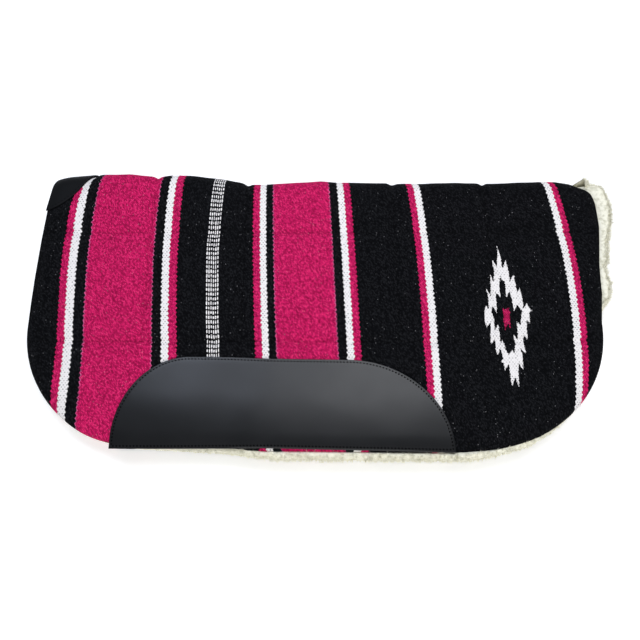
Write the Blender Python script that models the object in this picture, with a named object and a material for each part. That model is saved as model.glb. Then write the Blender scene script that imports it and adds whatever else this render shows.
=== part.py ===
"""Western saddle pad, folded once along its spine and lying on its off side.

A striped woven cover wraps a felt core and is sewn to a fleece lining. The pad has a near half, an off half
and the spine between them, which bends as the pad is folded. Wear leathers guard the lower edges where the
stirrup leathers rub, and a small leather guards the withers.

Frame, in metres: +X runs along the spine from the front to the rear, +Y points at the fold and +Z is up.
The origin is on the floor under the middle of the folded pad.

A place in a layer is given by its depth, from the pile face (0) out to the cloth face (HALF_THICKNESS).
Across the spine it is given by its reach, the distance from the crest along the cloth face.
"""

import math

import bmesh
import bpy
from mathutils import Matrix, Vector
from mathutils.geometry import delaunay_2d_cdt

# Outline of the pad
PAD_LENGTH = 0.813              # front to rear along the spine, 32 inches
FOLDED_DROP = 0.414             # crest of the fold to the lower edge of the cloth
CORNER_RADIUS = 0.175           # both lower corners of a half
REAR_TAPER = 0.016              # how far the rear edge is cut in by the time it reaches its corner

# Layers, and the gaps that keep them apart
COVER_THICKNESS = 0.0030        # woven cloth
CORE_THICKNESS = 0.0114         # felt
FLEECE_THICKNESS = 0.0100       # knitted backing and its pile
FITTING_GAP = 0.0003            # between pieces that touch
PILE_GAP = 0.0006               # between the two pile faces of the folded pad
PILE_PINCH = 0.0020             # pile crushed inside the bend

# The cloth face rounds over towards its free edges
EDGE_ROUND_WIDTH = 0.020
EDGE_ROUND_DROP = 0.005
EDGE_ROUND_STEPS = (0.0, 0.3, 0.6, 1.0)

# Quilting: stitched valleys that pull the cloth face down into the felt
VALLEY_DEPTH = 0.0024
VALLEY_HALF_WIDTH = 0.014
UPPER_SEAM_DROP = 0.095         # crest of the fold to the upper long seam
LOWER_SEAM_DROP = 0.264         # crest of the fold to the lower long seam
INNER_CROSS_SEAM = 0.110        # middle of the pad to the cross seams on either side of it
OUTER_CROSS_SEAM = 0.248
QUILT_THREAD_DIAMETER = 0.0008
THREAD_CROSSING = 0.004         # length over which a cross thread climbs over a long one

# Pile that stands out past the cloth, below the lower edge and behind the rear edge
LOWER_PILE_REACH = 0.012
LOWER_PILE_FRONT = -0.265       # where along the lower edge the pile begins to show
LOWER_PILE_REAR = 0.345
LOWER_PILE_EASE = 0.080
REAR_PILE_REACH = 0.021
REAR_PILE_LOW = -0.061          # where up the rear edge the pile begins to show
REAR_PILE_EASE = 0.110
PILE_EDGE_STEP = 0.045          # longest step between points along the pile's edge
PILE_ROLL = 0.004               # rounding of the pile's own edge
PILE_RISE = 0.006               # how far long pile wells up past the fleece's face
PILE_BULGE = (0.35, 0.75)       # shares of the fleece's thickness between which its edge stands upright

BEND_STEPS = 14                 # facets round the bend of the spine

# Wear leathers: straight along the pad's lower edge, arched above it
WEAR_LENGTH = 0.454
WEAR_HEIGHT = 0.123
WEAR_MIDDLE = -0.0495           # x of the middle of the length
WEAR_FRONT_ARCH = 0.100         # length of the arch at each end
WEAR_REAR_ARCH = 0.137
WEAR_EDGE_MARGIN = 0.003        # pad's lower edge to the leather's lower edge
LEATHER_THICKNESS = 0.0018
LEATHER_CLEARANCE = 0.0015      # leather's edge to the wall of the recess that it is pressed into
RECESS_WALL = 0.003             # width of that sloping wall
STITCH_INSET = 0.005            # leather's edge to its stitching
THREAD_DIAMETER = 0.0006

# Wither leather: wraps over the front end of the spine
WITHER_LENGTH = 0.065           # along the crest
WITHER_REACH = 0.074            # along the cloth from the crest down each side
WITHER_ROUNDING = 1.4           # exponent of its outline: 1 is a triangle, 2 an ellipse

# Seam that closes the cover onto the fleece, round the outside of the cover's wall
EDGE_SEAM_RISE = 0.0025         # cover's rim to the thread
EDGE_THREAD_DIAMETER = 0.0010

PATTERN_OVERRUN = 0.005         # guide lines run this far past the edge that trims them

# Sizes and places that follow
HALF_THICKNESS = FLEECE_THICKNESS + CORE_THICKNESS + COVER_THICKNESS + 2 * FITTING_GAP
BEND_RADIUS = HALF_THICKNESS + PILE_GAP / 2
QUARTER_BEND = BEND_RADIUS * math.pi / 2
FRONT = -PAD_LENGTH / 2
REAR = PAD_LENGTH / 2
CREST = FOLDED_DROP / 2
LOWER_EDGE = -FOLDED_DROP / 2
BEND_START = CREST - BEND_RADIUS
HALF_EDGE = BEND_START - FITTING_GAP
CORNER_START = LOWER_EDGE + CORNER_RADIUS
UPPER_SEAM = CREST - UPPER_SEAM_DROP
LOWER_SEAM = CREST - LOWER_SEAM_DROP
CROSS_SEAMS = (-OUTER_CROSS_SEAM, -INNER_CROSS_SEAM, INNER_CROSS_SEAM, OUTER_CROSS_SEAM)
COVER_RIM = FLEECE_THICKNESS + FITTING_GAP
LEATHER_FACE = HALF_THICKNESS - THREAD_DIAMETER - FITTING_GAP
LEATHER_BACK = LEATHER_FACE - LEATHER_THICKNESS
RECESS_FLOOR = LEATHER_BACK - FITTING_GAP
RECESS_GROWTH = (LEATHER_CLEARANCE, LEATHER_CLEARANCE + RECESS_WALL)
LEATHER_BASE = LOWER_EDGE + WEAR_EDGE_MARGIN
EDGE_THREAD_DEPTH = COVER_RIM + EDGE_SEAM_RISE
EDGE_THREAD_OFFSET = FITTING_GAP + EDGE_THREAD_DIAMETER / 2
VALLEY_FLOOR = HALF_THICKNESS - VALLEY_DEPTH
QUILT_THREAD_DEPTH = VALLEY_FLOOR + FITTING_GAP + QUILT_THREAD_DIAMETER / 2
QUILT_THREAD_PITCH = QUILT_THREAD_DIAMETER + FITTING_GAP

# Fold: two hinges share the half turn, placed so that the cloth keeps its length when it is laid flat
HINGE_OFFSET = BEND_RADIUS * math.pi / 4
HINGE_Y = BEND_START + HINGE_OFFSET
SPINE_HINGE_Z = BEND_RADIUS - HINGE_OFFSET
NEAR_HINGE_Z = BEND_RADIUS + HINGE_OFFSET

CLOTH_RED = (0.530, 0.012, 0.115)
FELT_GREY = (0.300, 0.300, 0.310)
FLEECE_CREAM = (0.780, 0.750, 0.620)
LEATHER_BLACK = (0.018, 0.020, 0.023)
THREAD_BLACK = (0.010, 0.010, 0.011)
THREAD_CREAM = (0.700, 0.670, 0.560)


def smooth_step(share):
    """Eases from 0 to 1 with no kink at either end."""
    share = min(1.0, max(0.0, share))
    return share * share * (3 - 2 * share)


def distance_to_segment(point, start, end):
    along = end - start
    share = (point - start).dot(along) / along.length_squared
    return (point - start - along * min(1.0, max(0.0, share))).length


def distance_to_line(point, line):
    return min(distance_to_segment(point, a, b) for a, b in zip(line, line[1:]))


def inside(point, loop):
    """Whether a point lies within a closed loop or on it."""
    if distance_to_line(point, loop + loop[:1]) < 1e-5:
        return True
    found = False
    for a, b in zip(loop, loop[1:] + loop[:1]):
        if (a.y > point.y) != (b.y > point.y):
            if point.x < a.x + (b.x - a.x) * (point.y - a.y) / (b.y - a.y):
                found = not found
    return found


# Places in the folded pad


def place_near(x, y, depth):
    return Vector((x, y, BEND_RADIUS + PILE_GAP / 2 + depth))


def place_off(x, y, depth):
    return Vector((x, y, BEND_RADIUS - PILE_GAP / 2 - depth))


def place_spine(x, reach, depth):
    """Reach is positive on the near side and negative on the off side."""
    radius = PILE_GAP / 2 + depth
    angle = reach / BEND_RADIUS
    return Vector((x, BEND_START + radius * math.cos(angle), BEND_RADIUS + radius * math.sin(angle)))


# Outlines in the flat


def rear_edge(y):
    """x of the rear edge, which eases in by REAR_TAPER between the spine and the corner."""
    return REAR - REAR_TAPER * smooth_step((HALF_EDGE - y) / (HALF_EDGE - CORNER_START))


def corner_arc(centre_x, radius, first_angle, steps):
    angles = [first_angle + (math.pi / 2) * i / steps for i in range(steps + 1)]
    return [Vector((centre_x + radius * math.cos(a), CORNER_START + radius * math.sin(a))) for a in angles]


def half_outline(inset=0.0, corner_steps=14, rear_steps=6):
    """Free edge of a half from the spine down the front, along the bottom and up the rear to the spine."""
    radius = CORNER_RADIUS - inset
    points = [Vector((FRONT + inset, HALF_EDGE))]
    points += corner_arc(FRONT + CORNER_RADIUS, radius, math.pi, corner_steps)
    points += corner_arc(rear_edge(CORNER_START) - CORNER_RADIUS, radius, 1.5 * math.pi, corner_steps)
    for step in range(1, rear_steps + 1):
        y = CORNER_START + (HALF_EDGE - CORNER_START) * step / rear_steps
        points.append(Vector((rear_edge(y) - inset, y)))
    return points


def below_corner(y):
    """How far a corner's arc has come in from its side edge at a height."""
    drop = max(0.0, CORNER_START - y)
    return CORNER_RADIUS - math.sqrt(CORNER_RADIUS**2 - drop**2)


def seam_ends(y):
    """Where a long seam meets the front and the rear edge."""
    return FRONT + below_corner(y), rear_edge(max(y, CORNER_START)) - below_corner(y)


def wear_outline(growth=0.0, steps=12):
    """Wear leather's outline from its front foot over the arch to its rear foot, grown outwards."""
    base = LEATHER_BASE - min(0.0, growth)
    height = LEATHER_BASE + WEAR_HEIGHT + growth - base
    front = WEAR_MIDDLE - WEAR_LENGTH / 2 + WEAR_FRONT_ARCH
    rear = WEAR_MIDDLE + WEAR_LENGTH / 2 - WEAR_REAR_ARCH
    quarter = [(math.pi / 2) * i / steps for i in range(steps + 1)]
    points = [
        Vector((front - (WEAR_FRONT_ARCH + growth) * math.cos(a), base + height * math.sin(a))) for a in quarter
    ]
    points += [
        Vector((rear + (WEAR_REAR_ARCH + growth) * math.cos(a), base + height * math.sin(a)))
        for a in reversed(quarter)
    ]
    return points


def wither_x(reach, growth=0.0):
    """x of the wither leather's curved edge at a reach."""
    share = min(1.0, abs(reach) / (WITHER_REACH + growth))
    return FRONT + (WITHER_LENGTH + growth) * (1 - share**WITHER_ROUNDING) ** (1 / WITHER_ROUNDING)


def half_wither_edge(growth=0.0, steps=6):
    """Wither leather's edge on a half, from the spine down to its foot on the pad's front edge."""
    first = QUARTER_BEND + FITTING_GAP
    last = WITHER_REACH + growth
    reaches = [first + (last - first) * i / steps for i in range(steps + 1)]
    return [Vector((wither_x(r, growth), BEND_START + QUARTER_BEND - r)) for r in reaches]


def bend_stations():
    """Reaches at which the spine is faceted, from its off edge to its near edge."""
    return [QUARTER_BEND * (2 * i / BEND_STEPS - 1) for i in range(BEND_STEPS + 1)]


def spine_wither_edge(growth=0.0):
    """Wither leather's edge over the spine, in x and reach."""
    return [Vector((wither_x(r, growth), r)) for r in bend_stations()]


def level_line(y, first, last, steps):
    return [Vector((first + (last - first) * i / steps, y)) for i in range(steps + 1)]


def upright_line(x, first, last, steps):
    return [Vector((x, first + (last - first) * i / steps)) for i in range(steps + 1)]


# Flat patterns


def triangulate(outline, lines):
    """Triangles that fill an outline and keep each guide line as edges."""
    points = list(outline)
    edges = [(i, (i + 1) % len(outline)) for i in range(len(outline))]
    for line in lines:
        first = len(points)
        points += line
        edges += [(first + i, first + i + 1) for i in range(len(line) - 1)]
    flat, _, faces = delaunay_2d_cdt(points, edges, [], 0, 1e-6)[:3]
    flat = [Vector(p) for p in flat]
    kept = []
    for face in faces:
        a, b, c = (flat[i] for i in face)
        area = (b - a).cross(c - a)
        if abs(area) > 1e-10 and inside((a + b + c) / 3, outline):
            kept.append(tuple(face) if area > 0 else tuple(reversed(face)))
    used = sorted({i for face in kept for i in face})
    renumbered = {old: new for new, old in enumerate(used)}
    return [flat[i] for i in used], [tuple(renumbered[i] for i in face) for face in kept]


def border_edges(faces):
    """Directed edges that only one face uses."""
    directed = {(f[i], f[(i + 1) % len(f)]) for f in faces for i in range(len(f))}
    return sorted((a, b) for a, b in directed if (b, a) not in directed)


class Pattern:
    """A flat piece: its points, its faces and which way is inwards along its free edges."""

    def __init__(self, outline, lines, is_joined):
        self.points, self.faces = triangulate(outline, lines)
        borders = border_edges(self.faces)
        self.free = [(a, b) for a, b in borders if not (is_joined(self.points[a]) and is_joined(self.points[b]))]
        self.inward = {}
        for a, b in self.free:
            along = (self.points[b] - self.points[a]).normalized()
            for end in (a, b):
                self.inward[end] = self.inward.get(end, Vector((0, 0))) + Vector((-along.y, along.x))
        for direction in self.inward.values():
            direction.normalize()

    def inset(self, distance):
        """The points, with those on the free edges moved in."""
        return [p + self.inward[i] * distance if i in self.inward else p for i, p in enumerate(self.points)]


def cloth_depths(pattern, edges, seams, recesses):
    """Depth of the cloth face at each point: rounded at the edges, drawn in at the seams, flat under leather."""
    floors, shoulders = recesses
    depths = []
    for point in pattern.points:
        to_edge = min(distance_to_line(point, edge) for edge in edges)
        rounding = EDGE_ROUND_DROP * max(0.0, 1 - to_edge / EDGE_ROUND_WIDTH) ** 2
        to_seam = min(distance_to_segment(point, a, b) for a, b in seams)
        depth = HALF_THICKNESS - rounding - VALLEY_DEPTH * max(0.0, 1 - to_seam / VALLEY_HALF_WIDTH)
        under_leather = any(inside(point, loop) for loop in floors)
        beside_leather = any(inside(point, loop) for loop in shoulders)
        if under_leather or (beside_leather and depth < RECESS_FLOOR):
            depth = RECESS_FLOOR
        depths.append(depth)
    return depths


def half_pattern():
    """Pattern of one half, and the depth of its cloth face."""
    outline = half_outline()
    seams = [(Vector((seam_ends(y)[0], y)), Vector((seam_ends(y)[1], y))) for y in (UPPER_SEAM, LOWER_SEAM)]
    seams += [(Vector((x, LOWER_SEAM)), Vector((x, HALF_EDGE))) for x in CROSS_SEAMS]
    lines = [half_outline(share * EDGE_ROUND_WIDTH) for share in EDGE_ROUND_STEPS[1:]]
    recesses = []
    for growth in RECESS_GROWTH:
        arch = wear_outline(growth)
        wear = [Vector((foot.x, LOWER_EDGE - PATTERN_OVERRUN)) for foot in (arch[0], arch[-1])]
        wear = wear[:1] + arch + wear[1:]
        edge = half_wither_edge(growth)
        wither = [Vector((edge[0].x, HALF_EDGE + PATTERN_OVERRUN))] + edge
        wither.append(Vector((FRONT - PATTERN_OVERRUN, edge[-1].y)))
        lines += [wear, wither]
        recesses.append((wear, wither + [Vector((FRONT - PATTERN_OVERRUN, HALF_EDGE + PATTERN_OVERRUN))]))
    for offset in (-VALLEY_HALF_WIDTH, 0.0, VALLEY_HALF_WIDTH):
        for y in (UPPER_SEAM + offset, LOWER_SEAM + offset):
            lines.append(level_line(y, FRONT - PATTERN_OVERRUN, REAR + PATTERN_OVERRUN, 6))
        for x in CROSS_SEAMS:
            lines.append(upright_line(x + offset, LOWER_SEAM, HALF_EDGE + PATTERN_OVERRUN, 3))
    pattern = Pattern(outline, lines, lambda p: p.y > HALF_EDGE - 1e-6)
    return pattern, cloth_depths(pattern, [outline], seams, recesses)


def spine_pattern():
    """Pattern of the spine in x and reach, and the depth of its cloth face."""
    outline = [Vector((x, r)) for x, r in ((FRONT, -QUARTER_BEND), (REAR, -QUARTER_BEND))]
    outline += [Vector((x, r)) for x, r in ((REAR, QUARTER_BEND), (FRONT, QUARTER_BEND))]
    top = QUARTER_BEND + PATTERN_OVERRUN
    ends = (FRONT - PATTERN_OVERRUN, REAR + PATTERN_OVERRUN)
    edges = [upright_line(x, -top, top, 1) for x in (FRONT, REAR)]
    seams = [(Vector((x, -top)), Vector((x, top))) for x in CROSS_SEAMS]
    recess_lines = []
    for growth in RECESS_GROWTH:
        edge = spine_wither_edge(growth)
        recess_lines.append([Vector((edge[0].x, -top))] + edge + [Vector((edge[-1].x, top))])
    recesses = [(line + [Vector((ends[0], top)), Vector((ends[0], -top))],) for line in recess_lines]
    guides = [FRONT + share * EDGE_ROUND_WIDTH for share in EDGE_ROUND_STEPS[1:]]
    guides += [REAR - share * EDGE_ROUND_WIDTH for share in EDGE_ROUND_STEPS[1:]]
    guides += [x + offset for x in CROSS_SEAMS for offset in (-VALLEY_HALF_WIDTH, 0.0, VALLEY_HALF_WIDTH)]
    lines = recess_lines + [upright_line(x, -top, top, 1) for x in guides]
    lines += [level_line(reach, *ends, 1) for reach in bend_stations()[1:-1]]
    pattern = Pattern(outline, lines, lambda p: abs(p.y) > QUARTER_BEND - 1e-6)
    return pattern, cloth_depths(pattern, edges, seams, recesses)


# Solids


def material(name, colour, roughness):
    made = bpy.data.materials.new(name)
    made.use_nodes = True
    shader = made.node_tree.nodes["Principled BSDF"]
    shader.inputs["Base Color"].default_value = (*colour, 1.0)
    shader.inputs["Roughness"].default_value = roughness
    return made


def add_object(name, points, faces, finish, hinge):
    """Closed mesh whose origin is on the hinge that it turns about."""
    mesh = bpy.data.meshes.new(name)
    mesh.from_pydata([tuple(p - hinge.matrix_world.translation) for p in points], [], faces)
    work = bmesh.new()
    work.from_mesh(mesh)
    bmesh.ops.recalc_face_normals(work, faces=work.faces)
    work.to_mesh(mesh)
    work.free()
    mesh.materials.append(material(name, *finish))
    mesh.shade_smooth()
    mesh.set_sharp_from_angle(angle=math.radians(35))
    obj = bpy.data.objects.new(name, mesh)
    obj.parent = hinge
    bpy.context.scene.collection.objects.link(obj)
    return obj


def solid_between(name, outer, inner, faces, finish, hinge):
    """Closed solid between two skins that share one set of faces."""
    shift = len(outer)
    shell = list(faces)
    shell += [tuple(shift + i for i in reversed(face)) for face in faces]
    shell += [(b, a, shift + a, shift + b) for a, b in border_edges(faces)]
    return add_object(name, outer + inner, shell, finish, hinge)


def cover(name, pattern, depths, place, hinge):
    """Cloth whose free edges turn down to the fleece as a wall."""
    walled = sorted(pattern.inward)
    foot = {i: len(pattern.points) + k for k, i in enumerate(walled)}
    faces = pattern.faces + [(b, a, foot[a], foot[b]) for a, b in pattern.free]

    def skin(distance):
        flat = pattern.inset(distance)
        face = [place(p.x, p.y, depth - distance) for p, depth in zip(flat, depths)]
        return face + [place(flat[i].x, flat[i].y, COVER_RIM) for i in walled]

    return solid_between(name, skin(0.0), skin(COVER_THICKNESS), faces, (CLOTH_RED, 0.9), hinge)


def core(name, pattern, depths, place, hinge):
    """Felt that fills the cover down to the fleece."""
    below = COVER_THICKNESS + FITTING_GAP
    flat = pattern.inset(below)
    top = [place(p.x, p.y, depth - below) for p, depth in zip(flat, depths)]
    bottom = [place(p.x, p.y, COVER_RIM) for p in flat]
    return solid_between(name, top, bottom, pattern.faces, (FELT_GREY, 0.95), hinge)


def ring_solid(name, rings, finish, hinge):
    """Solid through rings of equal count, closed by its first and last ring."""
    count = len(rings[0])
    points = [p for ring in rings for p in ring]
    faces = []
    for i in range(len(rings) - 1):
        for j in range(count):
            k = (j + 1) % count
            faces.append((i * count + j, i * count + k, (i + 1) * count + k, (i + 1) * count + j))
    faces.append(tuple(range(count)))
    faces.append(tuple(range((len(rings) - 1) * count, len(rings) * count)))
    return add_object(name, points, faces, finish, hinge)


def thread(name, route, diameter, colour, hinge, cyclic=False):
    """Round thread along a route of places."""
    curve = bpy.data.curves.new(name, "CURVE")
    curve.dimensions = "3D"
    curve.bevel_depth = diameter / 2
    curve.bevel_resolution = 0
    curve.use_fill_caps = True
    spline = curve.splines.new("POLY")
    spline.points.add(len(route) - 1)
    for point, place in zip(spline.points, route):
        point.co = (*(place - hinge.matrix_world.translation), 1.0)
    spline.use_cyclic_u = cyclic
    curve.materials.append(material(name, colour, 0.6))
    obj = bpy.data.objects.new(name, curve)
    obj.parent = hinge
    bpy.context.scene.collection.objects.link(obj)
    return obj


# Fleece


def pile_profile(reach):
    """Rounded edge of the fleece, as (offset past the cloth's edge, depth) from its pile face to its back."""
    tip = reach - PILE_ROLL
    root = min(tip, EDGE_THREAD_OFFSET + EDGE_THREAD_DIAMETER)
    rise = PILE_RISE * max(0.0, tip - root) / REAR_PILE_REACH
    low, high = (share * FLEECE_THICKNESS for share in PILE_BULGE)
    return [
        (tip, 0.0),
        (reach, low),
        (reach, high + rise / 2),
        (tip, FLEECE_THICKNESS + rise),
        (root - EDGE_THREAD_DIAMETER, FLEECE_THICKNESS),
    ]


def pile_reach(point):
    """How far the pile stands out past the cloth at a point of the half's edge."""
    if point.x > 0 and point.y > REAR_PILE_LOW:
        return REAR_PILE_REACH * smooth_step((point.y - REAR_PILE_LOW) / REAR_PILE_EASE)
    if point.y > CORNER_START:
        return 0.0
    from_front = smooth_step((point.x - LOWER_PILE_FRONT) / LOWER_PILE_EASE)
    from_rear = smooth_step((LOWER_PILE_REAR - point.x) / LOWER_PILE_EASE)
    return LOWER_PILE_REACH * from_front * from_rear


def half_fleece(name, place, hinge):
    """Fleece under a half: level rings round it, from the pile face to the back."""
    outline = []
    for a, b in zip(half_outline(), half_outline()[1:]):
        outline += [a, (a + b) / 2] if (b - a).length > PILE_EDGE_STEP else [a]
    outline.append(half_outline()[-1])
    last = len(outline) - 1
    rings = []
    for level in range(len(pile_profile(0.0))):
        ring = []
        for i, point in enumerate(outline):
            along = outline[min(i + 1, last)] - outline[max(i - 1, 0)]
            outward = Vector((along.y, -along.x)).normalized()
            if i in (0, last):
                outward = Vector((math.copysign(1.0, point.x), 0.0))
            offset, depth = pile_profile(pile_reach(point))[level]
            moved = point + outward * offset
            ring.append(place(moved.x, moved.y, depth))
        rings.append(ring)
    return ring_solid(name, rings, (FLEECE_CREAM, 1.0), hinge)


def spine_fleece(name, hinge):
    """Fleece inside the bend: one section along the spine, carried round it."""
    front = [(FRONT - offset, depth) for offset, depth in pile_profile(0.0)]
    rear = [(REAR + offset, depth) for offset, depth in pile_profile(REAR_PILE_REACH)]
    section = front + rear[::-1]
    rings = []
    for reach in bend_stations():
        crushed = PILE_PINCH if abs(reach) < QUARTER_BEND - 1e-6 else 0.0  # none where it meets a half
        rings.append([place_spine(x, reach, max(depth, crushed)) for x, depth in section])
    return ring_solid(name, rings, (FLEECE_CREAM, 1.0), hinge)


# Leathers


def wear_leather(name, place, hinge):
    outline = wear_outline()
    rings = [[place(p.x, p.y, depth) for p in outline] for depth in (LEATHER_BACK, LEATHER_FACE)]
    return ring_solid(name, rings, (LEATHER_BLACK, 0.45), hinge)


def wear_stitching(name, place, hinge):
    route = wear_outline(-STITCH_INSET)
    depth = HALF_THICKNESS - THREAD_DIAMETER / 2
    places = [place(p.x, p.y, depth) for p in route]
    return thread(name, places, THREAD_DIAMETER, THREAD_BLACK, hinge, cyclic=True)


def half_wither_leather(name, place, hinge):
    """The part of the wither leather that lies on a half."""
    outline = [Vector((FRONT, HALF_EDGE))] + half_wither_edge()
    rings = [[place(p.x, p.y, depth) for p in outline] for depth in (LEATHER_BACK, LEATHER_FACE)]
    return ring_solid(name, rings, (LEATHER_BLACK, 0.45), hinge)


def spine_wither_leather(name, hinge):
    """The part of the wither leather that bends over the spine."""
    edge = spine_wither_edge()
    rings = []
    for point in edge:
        section = ((FRONT, LEATHER_BACK), (point.x, LEATHER_BACK), (point.x, LEATHER_FACE), (FRONT, LEATHER_FACE))
        rings.append([place_spine(x, point.y, depth) for x, depth in section])
    return ring_solid(name, rings, (LEATHER_BLACK, 0.45), hinge)


def wither_stitching(name, edge, place, hinge):
    """Thread along the curved edge of the wither leather."""
    depth = HALF_THICKNESS - THREAD_DIAMETER / 2
    return thread(name, [place(p.x, p.y, depth) for p in edge], THREAD_DIAMETER, THREAD_BLACK, hinge)


# Seams


def long_seam(name, y, place, hinge):
    """Thread along the spine's direction, between the rounded edges."""
    front, rear = seam_ends(y)
    ends = (front + EDGE_ROUND_WIDTH, rear - EDGE_ROUND_WIDTH)
    places = [place(x, y, QUILT_THREAD_DEPTH) for x in ends]
    return thread(name, places, QUILT_THREAD_DIAMETER, THREAD_BLACK, hinge)


def cross_seam(name, x, place, hinge):
    """Thread from the lower long seam up to the spine, climbing over the upper long seam's thread."""
    climb = THREAD_CROSSING / 2
    heights = (
        (LOWER_SEAM + QUILT_THREAD_PITCH, 0.0),
        (UPPER_SEAM - 2 * climb, 0.0),
        (UPPER_SEAM - climb, QUILT_THREAD_PITCH),
        (UPPER_SEAM + climb, QUILT_THREAD_PITCH),
        (UPPER_SEAM + 2 * climb, 0.0),
        (HALF_EDGE, 0.0),
    )
    places = [place(x, y, QUILT_THREAD_DEPTH + lift) for y, lift in heights]
    return thread(name, places, QUILT_THREAD_DIAMETER, THREAD_BLACK, hinge)


def spine_cross_seam(name, x, hinge):
    places = [place_spine(x, reach, QUILT_THREAD_DEPTH) for reach in bend_stations()]
    return thread(name, places, QUILT_THREAD_DIAMETER, THREAD_BLACK, hinge)


def half_edge_seam(name, place, hinge):
    places = [place(p.x, p.y, EDGE_THREAD_DEPTH) for p in half_outline(-EDGE_THREAD_OFFSET)]
    return thread(name, places, EDGE_THREAD_DIAMETER, THREAD_CREAM, hinge)


def spine_edge_seam(name, x, hinge):
    places = [place_spine(x, reach, EDGE_THREAD_DEPTH) for reach in bend_stations()]
    return thread(name, places, EDGE_THREAD_DIAMETER, THREAD_CREAM, hinge)


# Assembly


def add_hinge(name, place, parent=None):
    """Empty on a hinge axis, which runs along X."""
    empty = bpy.data.objects.new(name, None)
    bpy.context.scene.collection.objects.link(empty)
    empty.location = place
    if parent:
        empty.parent = parent
        empty.matrix_parent_inverse = Matrix.Translation(-parent.matrix_world.translation)
    bpy.context.view_layer.update()
    return empty


def build_half(side, place, hinge):
    pattern, depths = half_pattern()
    cover(f"{side}_woven_cover", pattern, depths, place, hinge)
    core(f"{side}_felt_core", pattern, depths, place, hinge)
    half_fleece(f"{side}_fleece_lining", place, hinge)
    wear_leather(f"{side}_wear_leather", place, hinge)
    wear_stitching(f"{side}_wear_leather_thread", place, hinge)
    half_wither_leather(f"{side}_wither_leather", place, hinge)
    wither_stitching(f"{side}_wither_leather_thread", half_wither_edge(-STITCH_INSET), place, hinge)
    half_edge_seam(f"{side}_edge_seam_thread", place, hinge)
    long_seam(f"{side}_upper_quilting_thread", UPPER_SEAM, place, hinge)
    long_seam(f"{side}_lower_quilting_thread", LOWER_SEAM, place, hinge)
    for number, x in enumerate(CROSS_SEAMS, 1):
        cross_seam(f"{side}_cross_quilting_thread_{number}", x, place, hinge)


def build_spine(hinge):
    pattern, depths = spine_pattern()
    cover("spine_woven_cover", pattern, depths, place_spine, hinge)
    core("spine_felt_core", pattern, depths, place_spine, hinge)
    spine_fleece("spine_fleece_lining", hinge)
    spine_wither_leather("spine_wither_leather", hinge)
    wither_stitching("spine_wither_leather_thread", spine_wither_edge(-STITCH_INSET), place_spine, hinge)
    spine_edge_seam("spine_front_edge_seam_thread", FRONT - EDGE_THREAD_OFFSET, hinge)
    spine_edge_seam("spine_rear_edge_seam_thread", REAR + EDGE_THREAD_OFFSET, hinge)
    for number, x in enumerate(CROSS_SEAMS, 1):
        spine_cross_seam(f"spine_cross_quilting_thread_{number}", x, hinge)


def build():
    for obj in list(bpy.data.objects):
        bpy.data.objects.remove(obj)
    root = add_hinge("off_half_root", Vector((0.0, 0.0, 0.0)))
    spine_hinge = add_hinge("spine_hinge", Vector((0.0, HINGE_Y, SPINE_HINGE_Z)), root)
    near_hinge = add_hinge("near_half_hinge", Vector((0.0, HINGE_Y, NEAR_HINGE_Z)), spine_hinge)
    build_half("off", place_off, root)
    build_spine(spine_hinge)
    build_half("near", place_near, near_hinge)


build()
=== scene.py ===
"""Looks of a western saddle pad, folded once along its spine and lying on its off side.

Each half has a quilted woven cover over a felt core, a fleece lining, a wear leather along its lower edge
and half of the leather that guards the withers. A place on a half is (x, drop, depth): drop is the way down
the cloth from the crest of the fold, and depth is the way out from the fold's middle plane, where the two
pile faces meet. Side is 1 for the near half, on top, and -1 for the off half. Lengths are in metres. Only
the tables that read_off reads, the stripes and the diamond's corners are in millimetres.
"""

import functools
import math

import bmesh
import bpy
import numpy as np
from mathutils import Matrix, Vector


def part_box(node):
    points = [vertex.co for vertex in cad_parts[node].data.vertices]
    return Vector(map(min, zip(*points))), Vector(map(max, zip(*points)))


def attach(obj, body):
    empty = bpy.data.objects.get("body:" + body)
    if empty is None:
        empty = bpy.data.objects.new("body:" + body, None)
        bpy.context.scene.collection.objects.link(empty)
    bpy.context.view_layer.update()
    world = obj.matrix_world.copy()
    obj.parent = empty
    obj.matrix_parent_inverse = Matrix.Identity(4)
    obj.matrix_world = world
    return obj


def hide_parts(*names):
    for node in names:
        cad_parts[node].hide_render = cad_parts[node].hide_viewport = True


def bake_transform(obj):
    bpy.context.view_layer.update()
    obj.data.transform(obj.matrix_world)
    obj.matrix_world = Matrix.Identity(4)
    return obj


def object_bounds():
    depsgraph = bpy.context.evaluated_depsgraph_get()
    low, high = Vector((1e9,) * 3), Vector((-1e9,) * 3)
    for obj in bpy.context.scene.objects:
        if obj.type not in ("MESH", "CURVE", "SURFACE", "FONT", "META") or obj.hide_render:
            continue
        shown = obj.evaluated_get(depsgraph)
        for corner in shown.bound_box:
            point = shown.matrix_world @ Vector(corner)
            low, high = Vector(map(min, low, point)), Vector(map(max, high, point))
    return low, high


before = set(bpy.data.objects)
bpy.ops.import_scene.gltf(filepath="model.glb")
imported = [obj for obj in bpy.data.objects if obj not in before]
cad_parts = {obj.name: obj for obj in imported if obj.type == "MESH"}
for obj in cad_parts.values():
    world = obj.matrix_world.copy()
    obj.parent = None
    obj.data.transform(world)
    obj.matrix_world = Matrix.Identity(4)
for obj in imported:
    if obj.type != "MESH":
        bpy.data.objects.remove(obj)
CAD_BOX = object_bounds()

MM = 0.001
NEAR, OFF = 1, -1
SIDE_NAMES = {NEAR: "near", OFF: "off"}

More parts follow.
